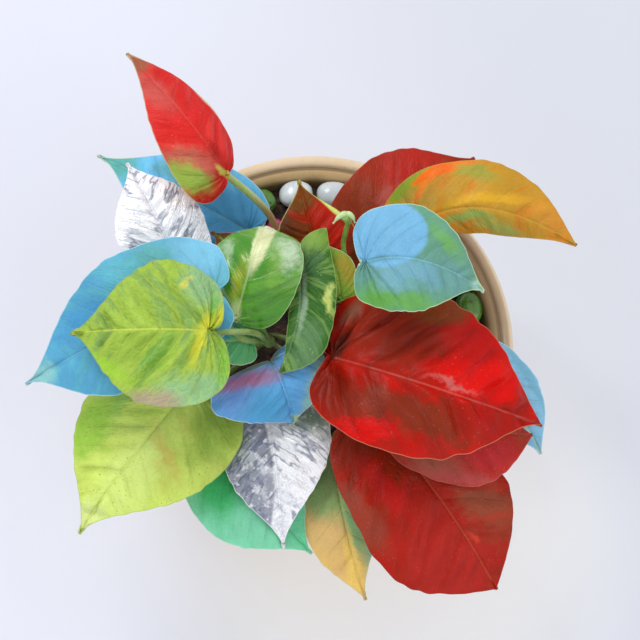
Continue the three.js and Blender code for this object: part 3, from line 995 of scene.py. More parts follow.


# The patches sprayed on each leaf, the first of them lowest; a few are painted highlights
PATCHES = {
    "red_spear": (
        Spot((186, 92, 84), 44, 4, 12, 5, 10, 0.6, 2, 0.6),
        Spot((190, 110, 90), 13, 10, 11, 6, 40, 0.5, 3, 0.75),
        Spot((152, 176, 72), 8.5, 13, 9.5, 5.0, 30, 0.5, 3.4),
        Spot((205, 190, 90), 1.5, 1, 4.2, 1.3, 10, 0.4, 1),
        Spot((176, 28, 20), 10, -1, 5, 2, 0, 0.6, 1, 0.8),
        Spot((150, 96, 66), 58, 0, 7, 6, 0, 0.35, 2, 0.9),
        Spot((214, 218, 190), 24, -15, 14, 1.6, 5, 0.4, 0.6, 0.9)),
    "blue_back": (
        Spot((82, 162, 208), 7, -2, 16, 12, 0, 0.5), Spot((118, 188, 226), 24, -15, 12, 5, 0, 0.5, 2, 0.8),
        Spot((96, 176, 160), 58, 0, 10, 8, 0, 0.5, 2, 0.9),
        Spot((96, 164, 130), 36, -5, 8, 3, 0, 0.6, 3, 0.5)),
    "silver_left": (
        Spot((250, 251, 255), 30, 0, 10, 6, 0, 0.6, 2, 0.8),
        Spot((250, 251, 255), 12, -12, 12, 5, 0, 0.6, 2, 0.6)),
    "blue_left": (
        Spot((122, 188, 216), 0, -15, 17, 9, -10, 0.5, 3),
        Spot((92, 170, 168), 18, -19, 10, 6, 0, 0.5, 3, 0.9),
        Spot((96, 180, 196), 28, -18, 8, 7, 0, 0.5, 4, 0.7),
        Spot((74, 152, 206), 44, -9, 14, 6, 0, 0.6, 4, 0.7),
        Spot((112, 186, 200), -7, 0, 7, 7, 0, 0.5, 2, 0.8),
        Spot((150, 205, 196), 74, 1, 9, 5, 0, 0.5, 3, 0.8)),
    "lime_heart": (
        Spot((136, 180, 128), -1, -17, 10, 9, 0, 0.35, 3), Spot((142, 188, 130), 5, 22, 13, 7, 0, 0.4, 3),
        Spot((168, 150, 128), 20, 26, 9, 4.5, 0, 0.6, 2),
        Spot((220, 212, 56), 3.5, 4.5, 8, 1.6, 70, 0.7, 1.6, 0.8),
        Spot((222, 216, 60), -2, -4, 7, 2.2, 35, 0.6, 1.6, 0.9),
        Spot((222, 214, 84), 7, -17, 3.4, 1.2, 50, 0.6, 2.4, 0.7),
        Spot((96, 170, 60), -3.4, -8.6, 5.5, 1.6, 80, 0.7, 1, 0.7),
        Spot((120, 188, 64), -4.5, 13, 8, 2.4, 80, 0.7, 1, 0.7),
        Spot((96, 160, 66), 18, 9, 9, 3, 55, 0.7, 3, 0.6),
        Spot((150, 200, 54), 38, 12, 11, 2.6, -28, 0.5, 1, 0.9)),
    "lime_front": (
        Spot((216, 234, 132), 40, 4, 18, 9, 0, 0.6, 3, 0.8),
        Spot((150, 200, 66), 36, -19, 13, 7, 0, 0.5, 3, 0.9),
        Spot((204, 172, 76), 26, 9, 9, 2.6, 62, 0.9, 4, 0.65),
        Spot((196, 180, 84), 15, 13, 9, 2.2, 72, 0.9, 4, 0.5),
        Spot((198, 204, 90), 34, 14, 9, 1.6, 60, 0.8, 4, 0.6),
        Spot((140, 176, 66), 6, 18, 15, 8, 0, 0.5, 3, 0.8),
        Spot((136, 188, 88), 18, -17, 10, 3, 20, 0.6, 3, 0.7),
        Spot((226, 238, 156), 64, 0, 8, 5, 0, 0.6, 3, 0.8)),
    "teal_small": (
        Spot((66, 146, 190), 13, -4, 7, 4, 20, 0.6, 1.5),),
    "blue_front": (
        Spot((120, 138, 206), 8, -14, 10, 10, 0, 0.6, 2, 0.6),
        Spot((80, 160, 206), 18, -8, 9, 9, 0, 0.6, 2, 0.9),
        Spot((150, 196, 178), 17, 12, 15, 3.6, -30, 0.6, 2, 0.9),
        Spot((186, 92, 116), 4, -12, 3.4, 13, -12, 0.7, 2, 0.75),
        Spot((124, 142, 126), -3, -8, 3.6, 13, -8, 0.35, 1.4),
        Spot((174, 200, 88), 29.5, 2, 3.2, 2.6, 0, 0.5, 1)),
    "variegated": (
        Spot((104, 164, 50), 42, 0, 8, 22, 0, 0.5, 2, 0.5),
        Spot((74, 142, 32), 8, -9, 8, 8, 0, 0.5, 2, 0.8),
        Spot((140, 184, 70), 24, -8, 8, 3, 20, 0.7, 4, 0.5),
        # painted highlights: two whitish patches of glare on the glossy face
        Spot((214, 230, 200), 31, -11, 6, 5, 0, 0.9, 6, 0.7),
        Spot((200, 222, 186), 25, 12, 6, 3, 20, 0.9, 6, 0.55),
        Spot((166, 172, 44), 14, 3, 9, 2.2, 0, 0.7, 2, 0.7),
        Spot((216, 220, 166), 35, -1.5, 16, 3.0, -3, 0.25, 1.0),
        Spot((176, 196, 120), 2, 1, 5, 2, 0, 0.5, 1)),
    "grey_green": (
        Spot((56, 98, 60), -9, 5, 10, 4.5, 0, 0.5, 2.4, 0.7),
        Spot((104, 142, 98), 24, 5, 9, 5, 0, 0.6, 4, 0.7),
        Spot((200, 210, 116), 8, 10.5, 4, 1.8, 0, 0.6, 3, 0.9),
        Spot((140, 176, 70), -14, 7, 5, 7, 0, 0.6, 2, 0.7),
        Spot((152, 180, 146), 8, 1.5, 12, 1.3, 0, 0.5, 1.5, 0.8)),
    "yellow_small": (
        Spot((164, 148, 50), 10, -4, 6, 3.4, 0, 0.6, 1.6),),
    "dark_red_point": (
        Spot((186, 26, 6), 17, -6, 13, 6, 0, 0.6, 2, 0.9),
        Spot((84, 44, 12), 18, 10, 14, 4, 0, 0.5, 2, 0.8),
        Spot((108, 66, 16), 34, 1, 7, 6, 0, 0.6, 2, 0.8),
        Spot((216, 226, 120), 27.5, -8.2, 9, 1.4, 33, 0.4, 0.3)),
    "dark_red_back": (
        Spot((184, 36, 26), 44, 12, 16, 8, 0, 0.6, 3, 0.8),
        Spot((132, 50, 20), 22, 14, 12, 8, 0, 0.6, 4, 0.8),
        Spot((176, 84, 76), 31, 8, 5, 3.5, 0, 0.6, 3, 0.6)),
    "orange": (
        Spot((132, 152, 44), -2, 15.5, 8, 5.5, 20, 0.45, 3),
        Spot((140, 156, 48), 7, 18.5, 9, 2.6, 5, 0.5, 1.6),
        Spot((176, 140, 60), 0, 7, 9, 5, 0, 0.6, 3, 0.8),
        Spot((240, 104, 14), 12, 15.4, 9.5, 2, 12, 0.25, 1.6),
        Spot((226, 122, 40), 5, 11, 6, 1.2, 40, 0.5, 1.4, 0.9),
        Spot((150, 158, 62), 21, 13.5, 6, 3, -20, 0.6, 2, 0.8),
        Spot((220, 168, 40), 30, 5, 20, 1.8, 8, 0.6, 2, 0.8),
        Spot((136, 170, 84), 18, -3.5, 12, 2, 0, 0.6, 2.4, 0.85),
        Spot((146, 176, 90), 32, -7, 11, 2.2, 0, 0.6, 2.4, 0.7),
        Spot((208, 140, 50), 50, 5, 12, 5, 0, 0.6, 2, 0.8)),
    "blue_heart": (
        Spot((100, 166, 66), 3, -14, 9, 5, 0, 0.7, 3, 0.9),
        Spot((104, 168, 76), 18, -15.5, 12, 3, 8, 0.7, 3, 0.8),
        Spot((112, 172, 84), 29, 8, 9, 2.6, -38, 0.7, 2, 0.8),
        Spot((114, 166, 188), 16, -5, 14, 4.6, 0, 0.7, 5, 0.8),
        Spot((108, 158, 156), 34, 0, 8, 6, 0, 0.7, 5, 0.7),
        Spot((116, 176, 212), 8, 8.6, 12.6, 12.2, 0, 0.07, 0.4),
        Spot((96, 150, 158), 3, -0.6, 9, 1.0, 0, 0.6, 1, 0.7),
        Spot((168, 206, 190), 45, -0.5, 4, 2, 0, 0.6, 2, 0.7)),
    "big_red": (
        Spot((132, 40, 18), 18, 16, 20, 14, 0, 0.5, 5, 0.75),
        Spot((120, 32, 14), 6, -11, 14, 8, 0, 0.6, 5, 0.75),
        Spot((192, 16, 10), 58, 20, 18, 11, 0, 0.5, 4, 0.85),
        Spot((130, 62, 24), 36, 30, 15, 6, 25, 0.4, 3, 0.9), Spot((214, 10, 2), 54, 8, 20, 8, 12, 0.4, 5),
        Spot((122, 44, 20), 36, -12, 22, 7, 0, 0.4, 5, 0.85),
        Spot((204, 8, 2), 22, -21, 11, 4.6, 10, 0.4, 5),
        Spot((172, 20, 12), 62, -8, 14, 5, 0, 0.6, 4, 0.7),
        Spot((84, 34, 22), 1, 5, 6.5, 3, 80, 0.6, 2, 0.95),
        Spot((120, 78, 56), -1, 18, 5, 3, 75, 0.6, 2, 0.8),
        # painted highlight: a pinkish sheen along the midrib
        Spot((196, 112, 106), 46, 2.4, 9, 1.2, 4, 0.8, 3.4, 0.7)),
    "red_low": (
        Spot((174, 34, 24), 66, -12, 22, 18, 0, 0.6, 2),
        Spot((140, 46, 28), 6, -12, 12, 9, 0, 0.6, 3, 0.8),
        Spot((126, 46, 24), 18, 2, 18, 7, 0, 0.6, 3, 0.8),
        Spot((148, 58, 40), 30, -27, 16, 5, 0, 0.5, 2, 0.9),
        Spot((148, 74, 48), 52, 14, 18, 9, 0, 0.5, 5, 0.85),
        Spot((186, 46, 30), 50, 15, 9, 1.6, 60, 0.6, 3, 0.6),
        Spot((186, 44, 30), 62, 13, 8, 1.6, 60, 0.6, 3, 0.5),
        # painted highlight: a small orange-red glint by the midrib
        Spot((222, 72, 46), 63, 2.5, 3.2, 0.9, 10, 0.6, 2, 0.6),
        Spot((190, 20, 16), 28, -14, 14, 4, 0, 0.6, 3, 0.8)),
    "rose": (
        Spot((164, 84, 66), 12, -12, 10, 8, 0, 0.6, 3), Spot((190, 40, 44), 30, -8, 12, 6, 0, 0.6, 3, 0.9),
        Spot((180, 74, 70), 24, -18, 14, 2.5, 0, 0.6, 2, 0.8)),
    "pale_blue": (
        Spot((112, 168, 192), 18, 11, 16, 2, -6, 0.5, 2, 0.8),),
    "silver_front": (
        Spot((140, 145, 160), 26, -10.6, 30, 9.6, -3, 0.06, 0.5, 0.9),
        Spot((216, 218, 226), 20, -7, 10, 1.6, 40, 0.6, 4, 0.8),
        Spot((206, 208, 218), 34, -4, 8, 1.6, 40, 0.6, 4, 0.8),
        Spot((116, 146, 110), 9, -17, 9, 4.4, 30, 0.4, 2.4),
        Spot((134, 156, 132), 2, 15, 12, 9, 30, 0.45, 3)),
    "emerald": (
        Spot((66, 184, 108), 11, -9, 15, 9, -30, 0.5, 3),
        Spot((104, 206, 152), 46, 2, 14, 6, 0, 0.6, 3, 0.8)),
    "ochre": (
        Spot((136, 182, 124), 22, 5, 26, 6, -4, 0.4, 2),
        Spot((146, 188, 140), 42, 9.5, 20, 4, -14, 0.4, 1.4),
        Spot((100, 150, 170), 52, 6.5, 8, 1.4, -24, 0.6, 1, 0.8),
        Spot((220, 184, 118), 31, -8, 12, 5, 0, 0.5, 3, 0.9),
        Spot((240, 204, 104), 48, -1, 12, 2.6, 0, 0.6, 2, 0.9),
        Spot((140, 184, 116), 14, -4, 16, 11, 0, 0.3, 3, 0.9)),
    "brown_red": (
        Spot((196, 84, 30), 17, -5, 9, 1.4, 0, 0.5, 1, 0.9),
        Spot((96, 88, 34), 14, 0, 7, 2.4, 0, 0.6, 2, 0.8)),
}

# Each leaf's name, midrib, left and right half, wave (height, number and start), stalk and paint
LEAVES = (
    Leaf("red_spear", ((-39, 50, 138), (-53, 65, 150), (-76, 92, 146)),
         Half(17, 0.12, 6, 9, 4, -18, 0.2), Half(14, 0.4, 2, 5, -24, -20, 0.5), (0.6, 3, 0.4),
         Stalk("back", 0.55, (-20, 40, 114), 1.5),
         Paint((206, 36, 32), (220, 62, 54), 0.6, (200, 190, 150), (226, 96, 84), 0.05, 0.25,
               (236, 170, 160), 0.25)),
    Leaf("blue_back", ((-29, 38, 107), (-57, 51, 112), (-86, 67, 104)),
         Half(16, 0.4, 5, 8, 6, -16, 0.1), Half(19, 0.25, 5, 9, 6, -18, 0.1), (0.6, 2, 1.0),
         Stalk("back", 0.35, (-20, 26, 98)),
         Paint((116, 202, 246), (94, 176, 222), 0.5, vein=(150, 206, 190), veins=0.06, midrib=0.3,
               dots=(40, 80, 90))),
    Leaf("silver_left", ((-56, 20, 122), (-65, 38, 128), (-75, 58, 122)),
         Half(17, 0.3, 9, 10, 2, -20, 0.1), Half(16, 0.3, 9, 9, 8, -16, 0.1), (0.6, 3, 2.0),
         Stalk("left", 0.5, (-38, 10, 106)),
         Paint((254, 254, 255), (216, 222, 236), 0.4, (250, 251, 255), (196, 202, 216), 0.1, 0.3,
               (150, 156, 176), 0.3, Sheen.FOIL)),
    Leaf("blue_left", ((-44, 0, 153), (-77, -15, 152), (-109, -28, 126)),
         Half(21, 0.45, 4, 9, 4, -20, 0.1), Half(26, 0.28, 10, 11, 10, -20, 0.1), (0.8, 3, 0.0),
         Stalk("left", 0.98, (-35, -13, 146)),
         Paint((88, 164, 200), (96, 180, 194), 0.6, (196, 224, 232), (140, 200, 226), 0.08, 0.2,
               (40, 90, 140), 0.12)),
    Leaf("lime_heart", ((-46, -17, 166), (-68, -18, 170), (-93, -16, 154)),
         Half(27, 0.3, 8, 12, 2, -18, 0.1), Half(25, 0.3, 8, 12, 4, -16, 0.1), (0.8, 3, 1.5),
         Stalk("left", 0.98, (-31, -14, 154)),
         Paint((154, 186, 70), (124, 164, 86), 0.8, (150, 160, 90), (196, 212, 88), 0.3, 0.85,
               (60, 90, 30), 0.55, cells=3.6, emboss=0.6, groove_shade=0.1),
         quilt=1.0, wrinkle=1.6, veins=6.0),
    Leaf("lime_front", ((-50, -26, 115), (-68, -49, 119), (-89, -77, 98)),
         Half(29, 0.22, 9, 12, 4, -16, 0.1), Half(27, 0.35, 9, 12, 2, -18, 0.15), (0.9, 3, 0.8),
         Stalk("left", 0.55, (-34, -15, 102)),
         Paint((204, 224, 104), (178, 206, 82), 0.6, (170, 190, 110), (206, 222, 110), 0.15, 0.3,
               (96, 116, 36), 1.0, emboss=0.42, groove_shade=0.06), quilt=0.5, wrinkle=1.1),
    Leaf("teal_small", ((-29, -11, 130), (-38, -12, 132), (-48, -13, 129)),
         Half(9, 0.25, 2, 5, 5, -15, 0.1), Half(8.5, 0.3, 2, 4, 5, -15, 0.1), (0.3, 2, 0.0),
         Stalk("left", 0.8, (-25, -10, 122)),
         Paint((100, 178, 116), (112, 184, 110), 0.4), quilt=0.2),
    Leaf("blue_front", ((-21, -18, 128), (-17, -28, 131), (-12, -38, 116)),
         Half(18, 0.2, 4, 9, 22, -14, 0.2), Half(27, 0.3, 2, 10, -4, -10, 0.25), (0.8, 3, 0.5),
         Stalk("front", 0.95, (-19, -20, 118)),
         Paint((98, 168, 222), (128, 190, 232), 0.5, (226, 232, 226), (150, 196, 226), 0.1, 0.25,
               (60, 80, 150), 0.25), quilt=0.3, veins=5.0),
    Leaf("variegated", ((-35, -6, 142), (-31, 9, 154), (-27, 23, 153), (-25.5, 28, 135)),
         Half(19, 0.35, 2, 5, -20, -36, 0.3), Half(18.5, 0.4, 2, 8, 4, -26, 0.5), (0.5, 3, 0.2),
         Stalk("left", 0.98, (-27, -7, 139)),
         Paint((66, 138, 18), (106, 166, 44), 0.7, (196, 214, 150), (196, 208, 140), 0.1, 0.5,
               (40, 110, 30), 0.2, Sheen.GLOSSY), quilt=0.25),
    Leaf("grey_green", ((-12.5, 9, 144), (-13, -6, 142.5), (-18.5, -24, 135)),
         Half(13, 0.45, 17, 12.5, 26, -30, 0.8), Half(3.6, 0.25, 3, 2.6, -10, -10, 0.2), (0.4, 2, 0.0),
         Stalk("back", 0.95, (-12, 8, 132)),
         Paint((54, 102, 36), (116, 152, 74), 0.85, (150, 172, 96), (150, 182, 140), 0.15, 0.3,
               (190, 206, 120), 0.7), quilt=0.3),
    Leaf("yellow_small", ((3, 4, 136), (1, 14, 139), (-4, 25, 137)),
         Half(6, 0.4, 2, 3, 4, -15, 0.1), Half(7.5, 0.45, 2, 4, 0, -20, 0.1), (0.3, 2, 0.7),
         Stalk("right", 0.9, (5, 2, 130)),
         Paint((136, 180, 60), (118, 164, 58), 0.4), quilt=0.15),
    Leaf("dark_red_point", ((-2, 16, 123), (-7, 30, 133), (-12, 50, 133)),
         Half(15, 0.3, 4, 7, -4, -20, 0.1), Half(17, 0.25, 8, 10, 6, -16, 0.1), (0.4, 2, 0.9),
         Stalk("back", 0.75, (-5, 13, 115)),
         Paint((108, 46, 8), (176, 32, 2), 0.7, (190, 190, 110), (160, 70, 30), 0.04, 0.08, (200, 120, 80),
               0.2)),
    Leaf("dark_red_back", ((9, 20, 114), (28, 42, 127), (56, 65, 121)),
         Half(23, 0.48, 4, 9, 4, -18, 0.15), Half(24, 0.4, 4, 9, 4, -18, 0.15), (0.8, 3, 0.3),
         Stalk("right", 0.5, (8, 12, 103)),
         Paint((154, 42, 18), (120, 60, 22), 0.7, (176, 90, 84), (180, 80, 70), 0.08, 0.2, (214, 130, 120),
               0.2)),
    Leaf("orange", ((31, 30, 150), (55, 32, 160), (88, 23, 148)),
         Half(18, 0.3, 14, 8, 6, -14, 0.4), Half(12, 0.3, 9, 6, -35, -45, 0.3), (0.6, 3, 0.0),
         Stalk("right", 0.95, (21, 31, 136)),
         Paint((190, 142, 44), (206, 124, 30), 0.8, (190, 140, 70), (214, 170, 62), 0.15, 0.35,
               (120, 90, 40), 0.3)),
    Leaf("blue_heart", ((8, 7, 174), (27, 6, 180), (50, -1, 168)),
         Half(20, 0.27, 4, 10, 2, -14, 0.2), Half(19, 0.33, 6, 9, 4, -20, 0.1), (0.6, 3, 1.1),
         Stalk("right", 0.98, (17, 10, 148)),
         Paint((100, 152, 128), (104, 156, 112), 0.6, (206, 224, 180), (150, 206, 220), 0.06, 0.3,
               (60, 120, 110), 0.3)),
    Leaf("big_red", ((0, -19, 141), (35, -32, 152), (77, -40, 130)),
         Half(33, 0.38, 9, 18, 4, -16, 0.4), Half(27, 0.35, 3.5, 11, 4, -20, 0.1), (1.0, 3, 0.6),
         Stalk("right", 0.9, (4, -9, 130)),
         Paint((164, 22, 4), (196, 12, 4), 0.7, (196, 130, 100), (206, 96, 84), 0.06, 0.5, (226, 160, 140),
               0.2, emboss=0.2, groove_shade=0.14), quilt=0.9, wrinkle=2.0, veins=6.0),
    Leaf("red_low", ((13.5, -33, 116), (39, -63, 120), (65, -95, 97)),
         Half(26, 0.5, 9, 12, 4, -16, 0.6), Half(31.5, 0.55, 2, 8, 2, -18, 0.68), (1.0, 3, 1.4),
         Stalk("left", 0.5, (-14.2, -6.9, 100)),
         Paint((164, 24, 4), (124, 42, 8), 0.55, (150, 60, 50), (190, 84, 56), 0.05, 0.45, (230, 150, 130),
               0.3, groove_shade=0.08), quilt=0.6, wrinkle=1.1, veins=6.0),
    Leaf("rose", ((28, -38, 132), (52, -43, 135), (75, -42, 123)),
         Half(16, 0.4, 7, 8, 2, -14, 0.2), Half(21, 0.45, 7, 8, -6, -22, 0.4), (0.6, 3, 0.0),
         Stalk("left", 0.38, (-14.3, -2, 101)),
         Paint((178, 36, 24), (156, 58, 34), 0.7, (190, 100, 90), (206, 100, 90), 0.05, 0.3,
               (230, 160, 150), 0.3)),
    Leaf("pale_blue", ((56, -13, 118), (68.5, -29, 118), (81, -46, 108)),
         Half(13.5, 0.35, 5, 6, 4, -14, 0.4), Half(14, 0.35, 5, 6, 4, -14, 0.2), (0.6, 3, 0.5),
         Stalk("right", 0.5, (30, -5, 106)),
         Paint((136, 190, 218), (120, 178, 206), 0.4, (196, 220, 230)), quilt=0.25),
    Leaf("silver_front", ((-21, -31, 109), (-18, -55, 111.5), (-14, -81, 97.5)),
         Half(22, 0.16, 6, 10, 8, -16, 0.1), Half(19, 0.3, 6, 10, 2, -16, 0.1), (0.6, 3, 0.0),
         Stalk("front", 0.75, (-18, -25, 103)),
         Paint((254, 254, 255), (220, 224, 234), 0.4, (248, 250, 252), (216, 220, 228), 0.05, 0.1,
               (150, 156, 176), 0.3, Sheen.FOIL)),
    Leaf("emerald", ((-37, -41, 103), (-24, -61, 104), (-3, -82, 91.5)),
         Half(18, 0.4, 7, 9, 2, -14, 0.1), Half(24, 0.35, 8, 11, 0, -14, 0.2), (0.6, 3, 0.9),
         Stalk("front", 0.5, (-22, -28, 96)),
         Paint((132, 218, 176), (116, 206, 160), 0.35, (190, 224, 206), (136, 210, 170), 0.12, 0.15),
         quilt=0.25),
    Leaf("ochre", ((4, -40, 95), (8, -68, 98), (18, -98, 84)),
         Half(13, 0.4, 6, 7, 2, -14, 0.1), Half(15, 0.5, 4, 5, -8, -10, 0.3), (0.6, 3, 0.0),
         Stalk("front", 0.5, (-4, -30, 89)),
         Paint((224, 184, 112), (232, 196, 104), 0.6, (206, 200, 160), (214, 190, 110), 0.3, 0.3,
               (120, 100, 50), 0.3)),
    Leaf("brown_red", ((-29, 17, 120), (-35, 26, 121), (-43, 34, 116)),
         Half(6, 0.4, 2, 3, 4, -14, 0.1), Half(7, 0.4, 2, 3, 4, -14, 0.1), (0.3, 2, 0.0),
         Stalk("back", 0.6, (-21, 14, 110)),
         Paint((104, 54, 22), (128, 60, 24), 0.5, (190, 90, 40)), quilt=0.15),
)


# Stems


@dataclass(frozen=True)
class StemSkin:
    """Smooth pale green skin, browner in places, with painted shade low down under the leaves."""

    green: Colour = (90, 126, 50)
    pale: Colour = (134, 158, 86)
    brown: Colour = (158, 96, 52)
    # painted shade on the stems low down, under the leaves
    shaded: Colour = (76, 98, 44)

    def material(self, name: str, ruddy: float) -> bpy.types.Material:
        """Build the shader.

        Args:
            name: The material's name.
            ruddy: How much of it is brown, from 0 to 1.

        Returns:
            The material.
        """
        board = Board(name)
        place = board.place()
        cloud = board.clouds(place, 90, 3)
        grain = board.clouds(place, 700, 3)
        _, _, height = board.split(place)
        low = height.ease(0.128, 0.112) * 0.9 + cloud.ease(0.6, 0.35) * 0.1
        # painted shade: darker low down, under the leaves
        colour = board.layer(
            self.green, (cloud.ease(0.35, 0.65), self.pale),
            (height.ease(0.115, 0.09) * 0.75, self.shaded), (low * ruddy, self.brown))
        colour = board.shade(colour, 1.0 + (grain - 0.5) * 0.3)
        shine = 0.3 + (grain - 0.5) * 0.2
        relief = board.bump(grain + cloud * 0.5, 0.12 * MM)
        return board.finish({"Base Color": colour, "Roughness": shine, "Normal": relief,
                             "Coat Weight": 0.35, "Coat Roughness": 0.15})


@dataclass
class Stems:
    """The vines out of the soil, the leaf stalks off them, and the young shoot."""

    vine_radius: float = 2.3
    vine_rings: int = 64
    vine_sides: int = 20
    stalk_rings: int = 56
    shoot_rings: int = 90
    arm_rings: int = 28
    ruddy_stalk: str = "red_spear"
    vines: dict[str, tuple[Point, ...]] = field(default_factory=lambda: {
        "left": ((-22, 3, 66), (-22, 2.5, 84), (-21, -5, 108), (-22, -11, 128)),
        "back": ((-9, 12, 66), (-9.5, 12, 86), (-13, 10, 108), (-15, 8, 126)),
        "right": ((6, -2, 66), (6, -1.7, 88), (6, 0, 112), (7, 3, 132)),
        "front": ((-12, -18, 66), (-12.3, -18.3, 86), (-14, -20, 98), (-16, -21, 110)),
    })
    shoot: tuple[Point, ...] = (
        (7, 10, 131), (5.4, 18, 133), (3.8, 23, 140), (3.1, 24, 155), (2.4, 23.5, 168),
        (1, 23, 172.5))
    arms: tuple[tuple[Point, ...], ...] = (
        ((1.6, 23, 171.6), (0.6, 23.8, 174.4), (-1.4, 22.8, 174.2), (-3.2, 21.2, 171.4)),
        ((0.6, 23, 171.6), (1.8, 23.8, 174.4), (3.2, 23, 174), (4.4, 21.6, 171.6)))

    def build(self, leaves: tuple[Leaf, ...]) -> None:
        """Model every stem and stalk.

        Args:
            leaves: The leaves that the stalks carry.
        """
        skin = StemSkin().material("stem_skin", 0.1)
        ruddy = StemSkin((166, 196, 100), (190, 212, 136), (160, 82, 50)).material("stem_skin_ruddy", 0.9)
        routes = {name: stem_route([Vector(p) * MM for p in points])
                  for name, points in self.vines.items()}
        for name, route in routes.items():
            self.vine(name, route, skin)
        for leaf in leaves:
            look = ruddy if leaf.name == self.ruddy_stalk else skin
            self.stalk(leaf, routes[leaf.stalk.vine], look)
        self.young_shoot(routes["right"])

    def vine(self, name: str, route: Route, skin: bpy.types.Material) -> None:
        """Model one vine, with a ring at each joint and a rounded end.

        Args:
            name: The vine.
            route: Its middle.
            skin: Its material.
        """
        def radius(part: float) -> float:
            """Thin a little upwards, swell at the joints and close at the end."""
            joint = max(0.0, math.cos(part * math.pi * 8)) ** 12
            close = math.sqrt(max(1 - ease(part, 0.965, 1.0) ** 2, 0.02))
            return self.vine_radius * (1.0 - 0.12 * part + 0.12 * joint) * close * MM

        stem = grow_stem(f"stem_{name}", route, radius, self.vine_rings, self.vine_sides)
        stem.data.materials.append(skin)
        stand_for(stem, "green_stem", f"vine_{name}")

    def stalk(self, leaf: Leaf, vine: Route, skin: bpy.types.Material) -> None:
        """Model one leaf stalk, from its vine to the blade's own base.

        Args:
            leaf: The leaf.
            vine: The vine's middle.
            skin: The stalk's material.
        """
        ahead = leaf.route.heading(0.0)
        up = (Vector((0, 0, 1)) - ahead * ahead.z).normalized()
        base = leaf.route.at(0.0)
        end = base - up * (1.0 + leaf.stalk.radius) * MM
        corners = [vine.at(leaf.stalk.start), Vector(leaf.stalk.via) * MM, end,
                   base + ahead * 2.5 * MM - up * 0.9 * MM]

        def radius(part: float) -> float:
            """Sheathe the vine at the foot, and swell a little at the knee below the blade."""
            sheath = 0.45 * ease(part, 0.12, 0.0)
            knee = 0.16 * ease(abs(part - 0.94), 0.06, 0.0)
            tip = ease(part, 0.96, 1.0) * 0.55
            return leaf.stalk.radius * (0.92 + sheath + knee - tip) * MM

        stem = grow_stem(f"stalk_{leaf.name}", stem_route(corners), radius, self.stalk_rings)
        stem.data.materials.append(skin)
        stand_for(stem, "green_stem")

    def young_shoot(self, vine: Route) -> None:
        """Model the shoot with its hooked bud.

        Args:
            vine: The middle of the vine that it grows on.
        """
        skin = StemSkin((104, 164, 62), (150, 192, 96)).material("shoot_skin", 0.0)
        bud_skin = StemSkin((160, 200, 112), (206, 224, 172)).material("bud_skin", 0.0)
        corners = [vine.at(0.95), *(Vector(point) * MM for point in self.shoot)]

        def thickness(part: float) -> float:
            """Keep even, with a small joint below the bud and a thicker head."""
            joint = 0.35 * ease(abs(part - 0.9), 0.02, 0.0)
            return (0.95 + joint + 0.3 * ease(part, 0.93, 1.0)) * MM

        stem = grow_stem("shoot_stem", stem_route(corners), thickness, self.shoot_rings)
        stem.data.materials.append(skin)
        stand_for(stem, "green_stem")
        for number, points in enumerate(self.arms):
            route = stem_route([Vector(point) * MM for point in points])

            def swell(part: float) -> float:
                """Swell in the middle and draw to a blunt point."""
                return (0.3 + 0.8 * math.sin(math.pi * min(part + 0.12, 1.0) ** 0.9)) * MM

            arm = grow_stem(f"bud_arm_{number + 1}", route, swell, self.arm_rings)
            arm.data.materials.append(bud_skin)
            stand_for(arm, "green_stem")


# Pot, soil and pebbles


@dataclass(frozen=True)
class Glaze:
    """Cream glaze outside and on the lip, tan and unglazed within, with painted shade in the groove and
    down the inner wall, and a painted shadow of the leaves on the right of the lip.
    """

    cream: Colour = (232, 208, 172)
    warm: Colour = (224, 196, 152)
    # painted shadow of the leaves on the right of the lip
    lip_shadow: Colour = (172, 142, 108)
    tan: Colour = (218, 184, 130)
    # painted shade in the groove and down the inner wall
    dark: Colour = (96, 74, 48)
    speckle: Colour = (150, 120, 86)
    earthy: Colour = (170, 140, 104)
    groove_at: float = 70.0

    def material(self) -> bpy.types.Material:
        """Build the shader.

        Returns:
            The material.
        """
        board = Board("pot_glaze")
        place = board.place()
        x, y, z = board.split(place)
        out = board.length(board.join(x, y)) * (1 / MM)
        height = z * (1 / MM)
        cloud = board.clouds(place, 22, 4)
        grain = board.clouds(place, 260, 4)
        speck = board.clouds(place, 1100, 1).ease(0.7, 0.76)
        inner = out.ease(self.groove_at + 0.5, self.groove_at - 0.2) * height.ease(74.0, 76.0)
        # painted shade in the groove of the lip
        groove_shading = abs(out - self.groove_at).ease(1.1, 0.3) * height.ease(86.0, 88.0)
        # painted shadow of the leaves, browner over the right of the lip
        lip_shadow_mask = (x * (1 / MM)).ease(30.0, 58.0) * out.ease(74.6, 73.2) * height.ease(84.0, 86.0)
        colour = board.layer(
            self.cream, (cloud.ease(0.35, 0.65), self.warm), (inner, self.tan),
            # painted shade: the groove, and the inner wall darker further down
            (groove_shading * 0.75, self.dark), (inner * height.ease(87.0, 82.5) * 0.6, self.dark),
            (speck * 0.35, self.speckle), (lip_shadow_mask * 0.7, self.lip_shadow),
            (height.ease(6.0, 0.5) * 0.35, self.earthy))
        colour = board.shade(colour, 1.0 + (grain - 0.5) * 0.12 + (cloud - 0.5) * 0.1)
        shine = 0.34 + (grain - 0.5) * 0.2 + inner * 0.2
        relief = board.bump(grain * 0.6 + speck * 0.4, 0.12 * MM)
        return board.finish({"Base Color": colour, "Roughness": shine, "Normal": relief,
                             "Coat Weight": 0.3, "Coat Roughness": 0.1})


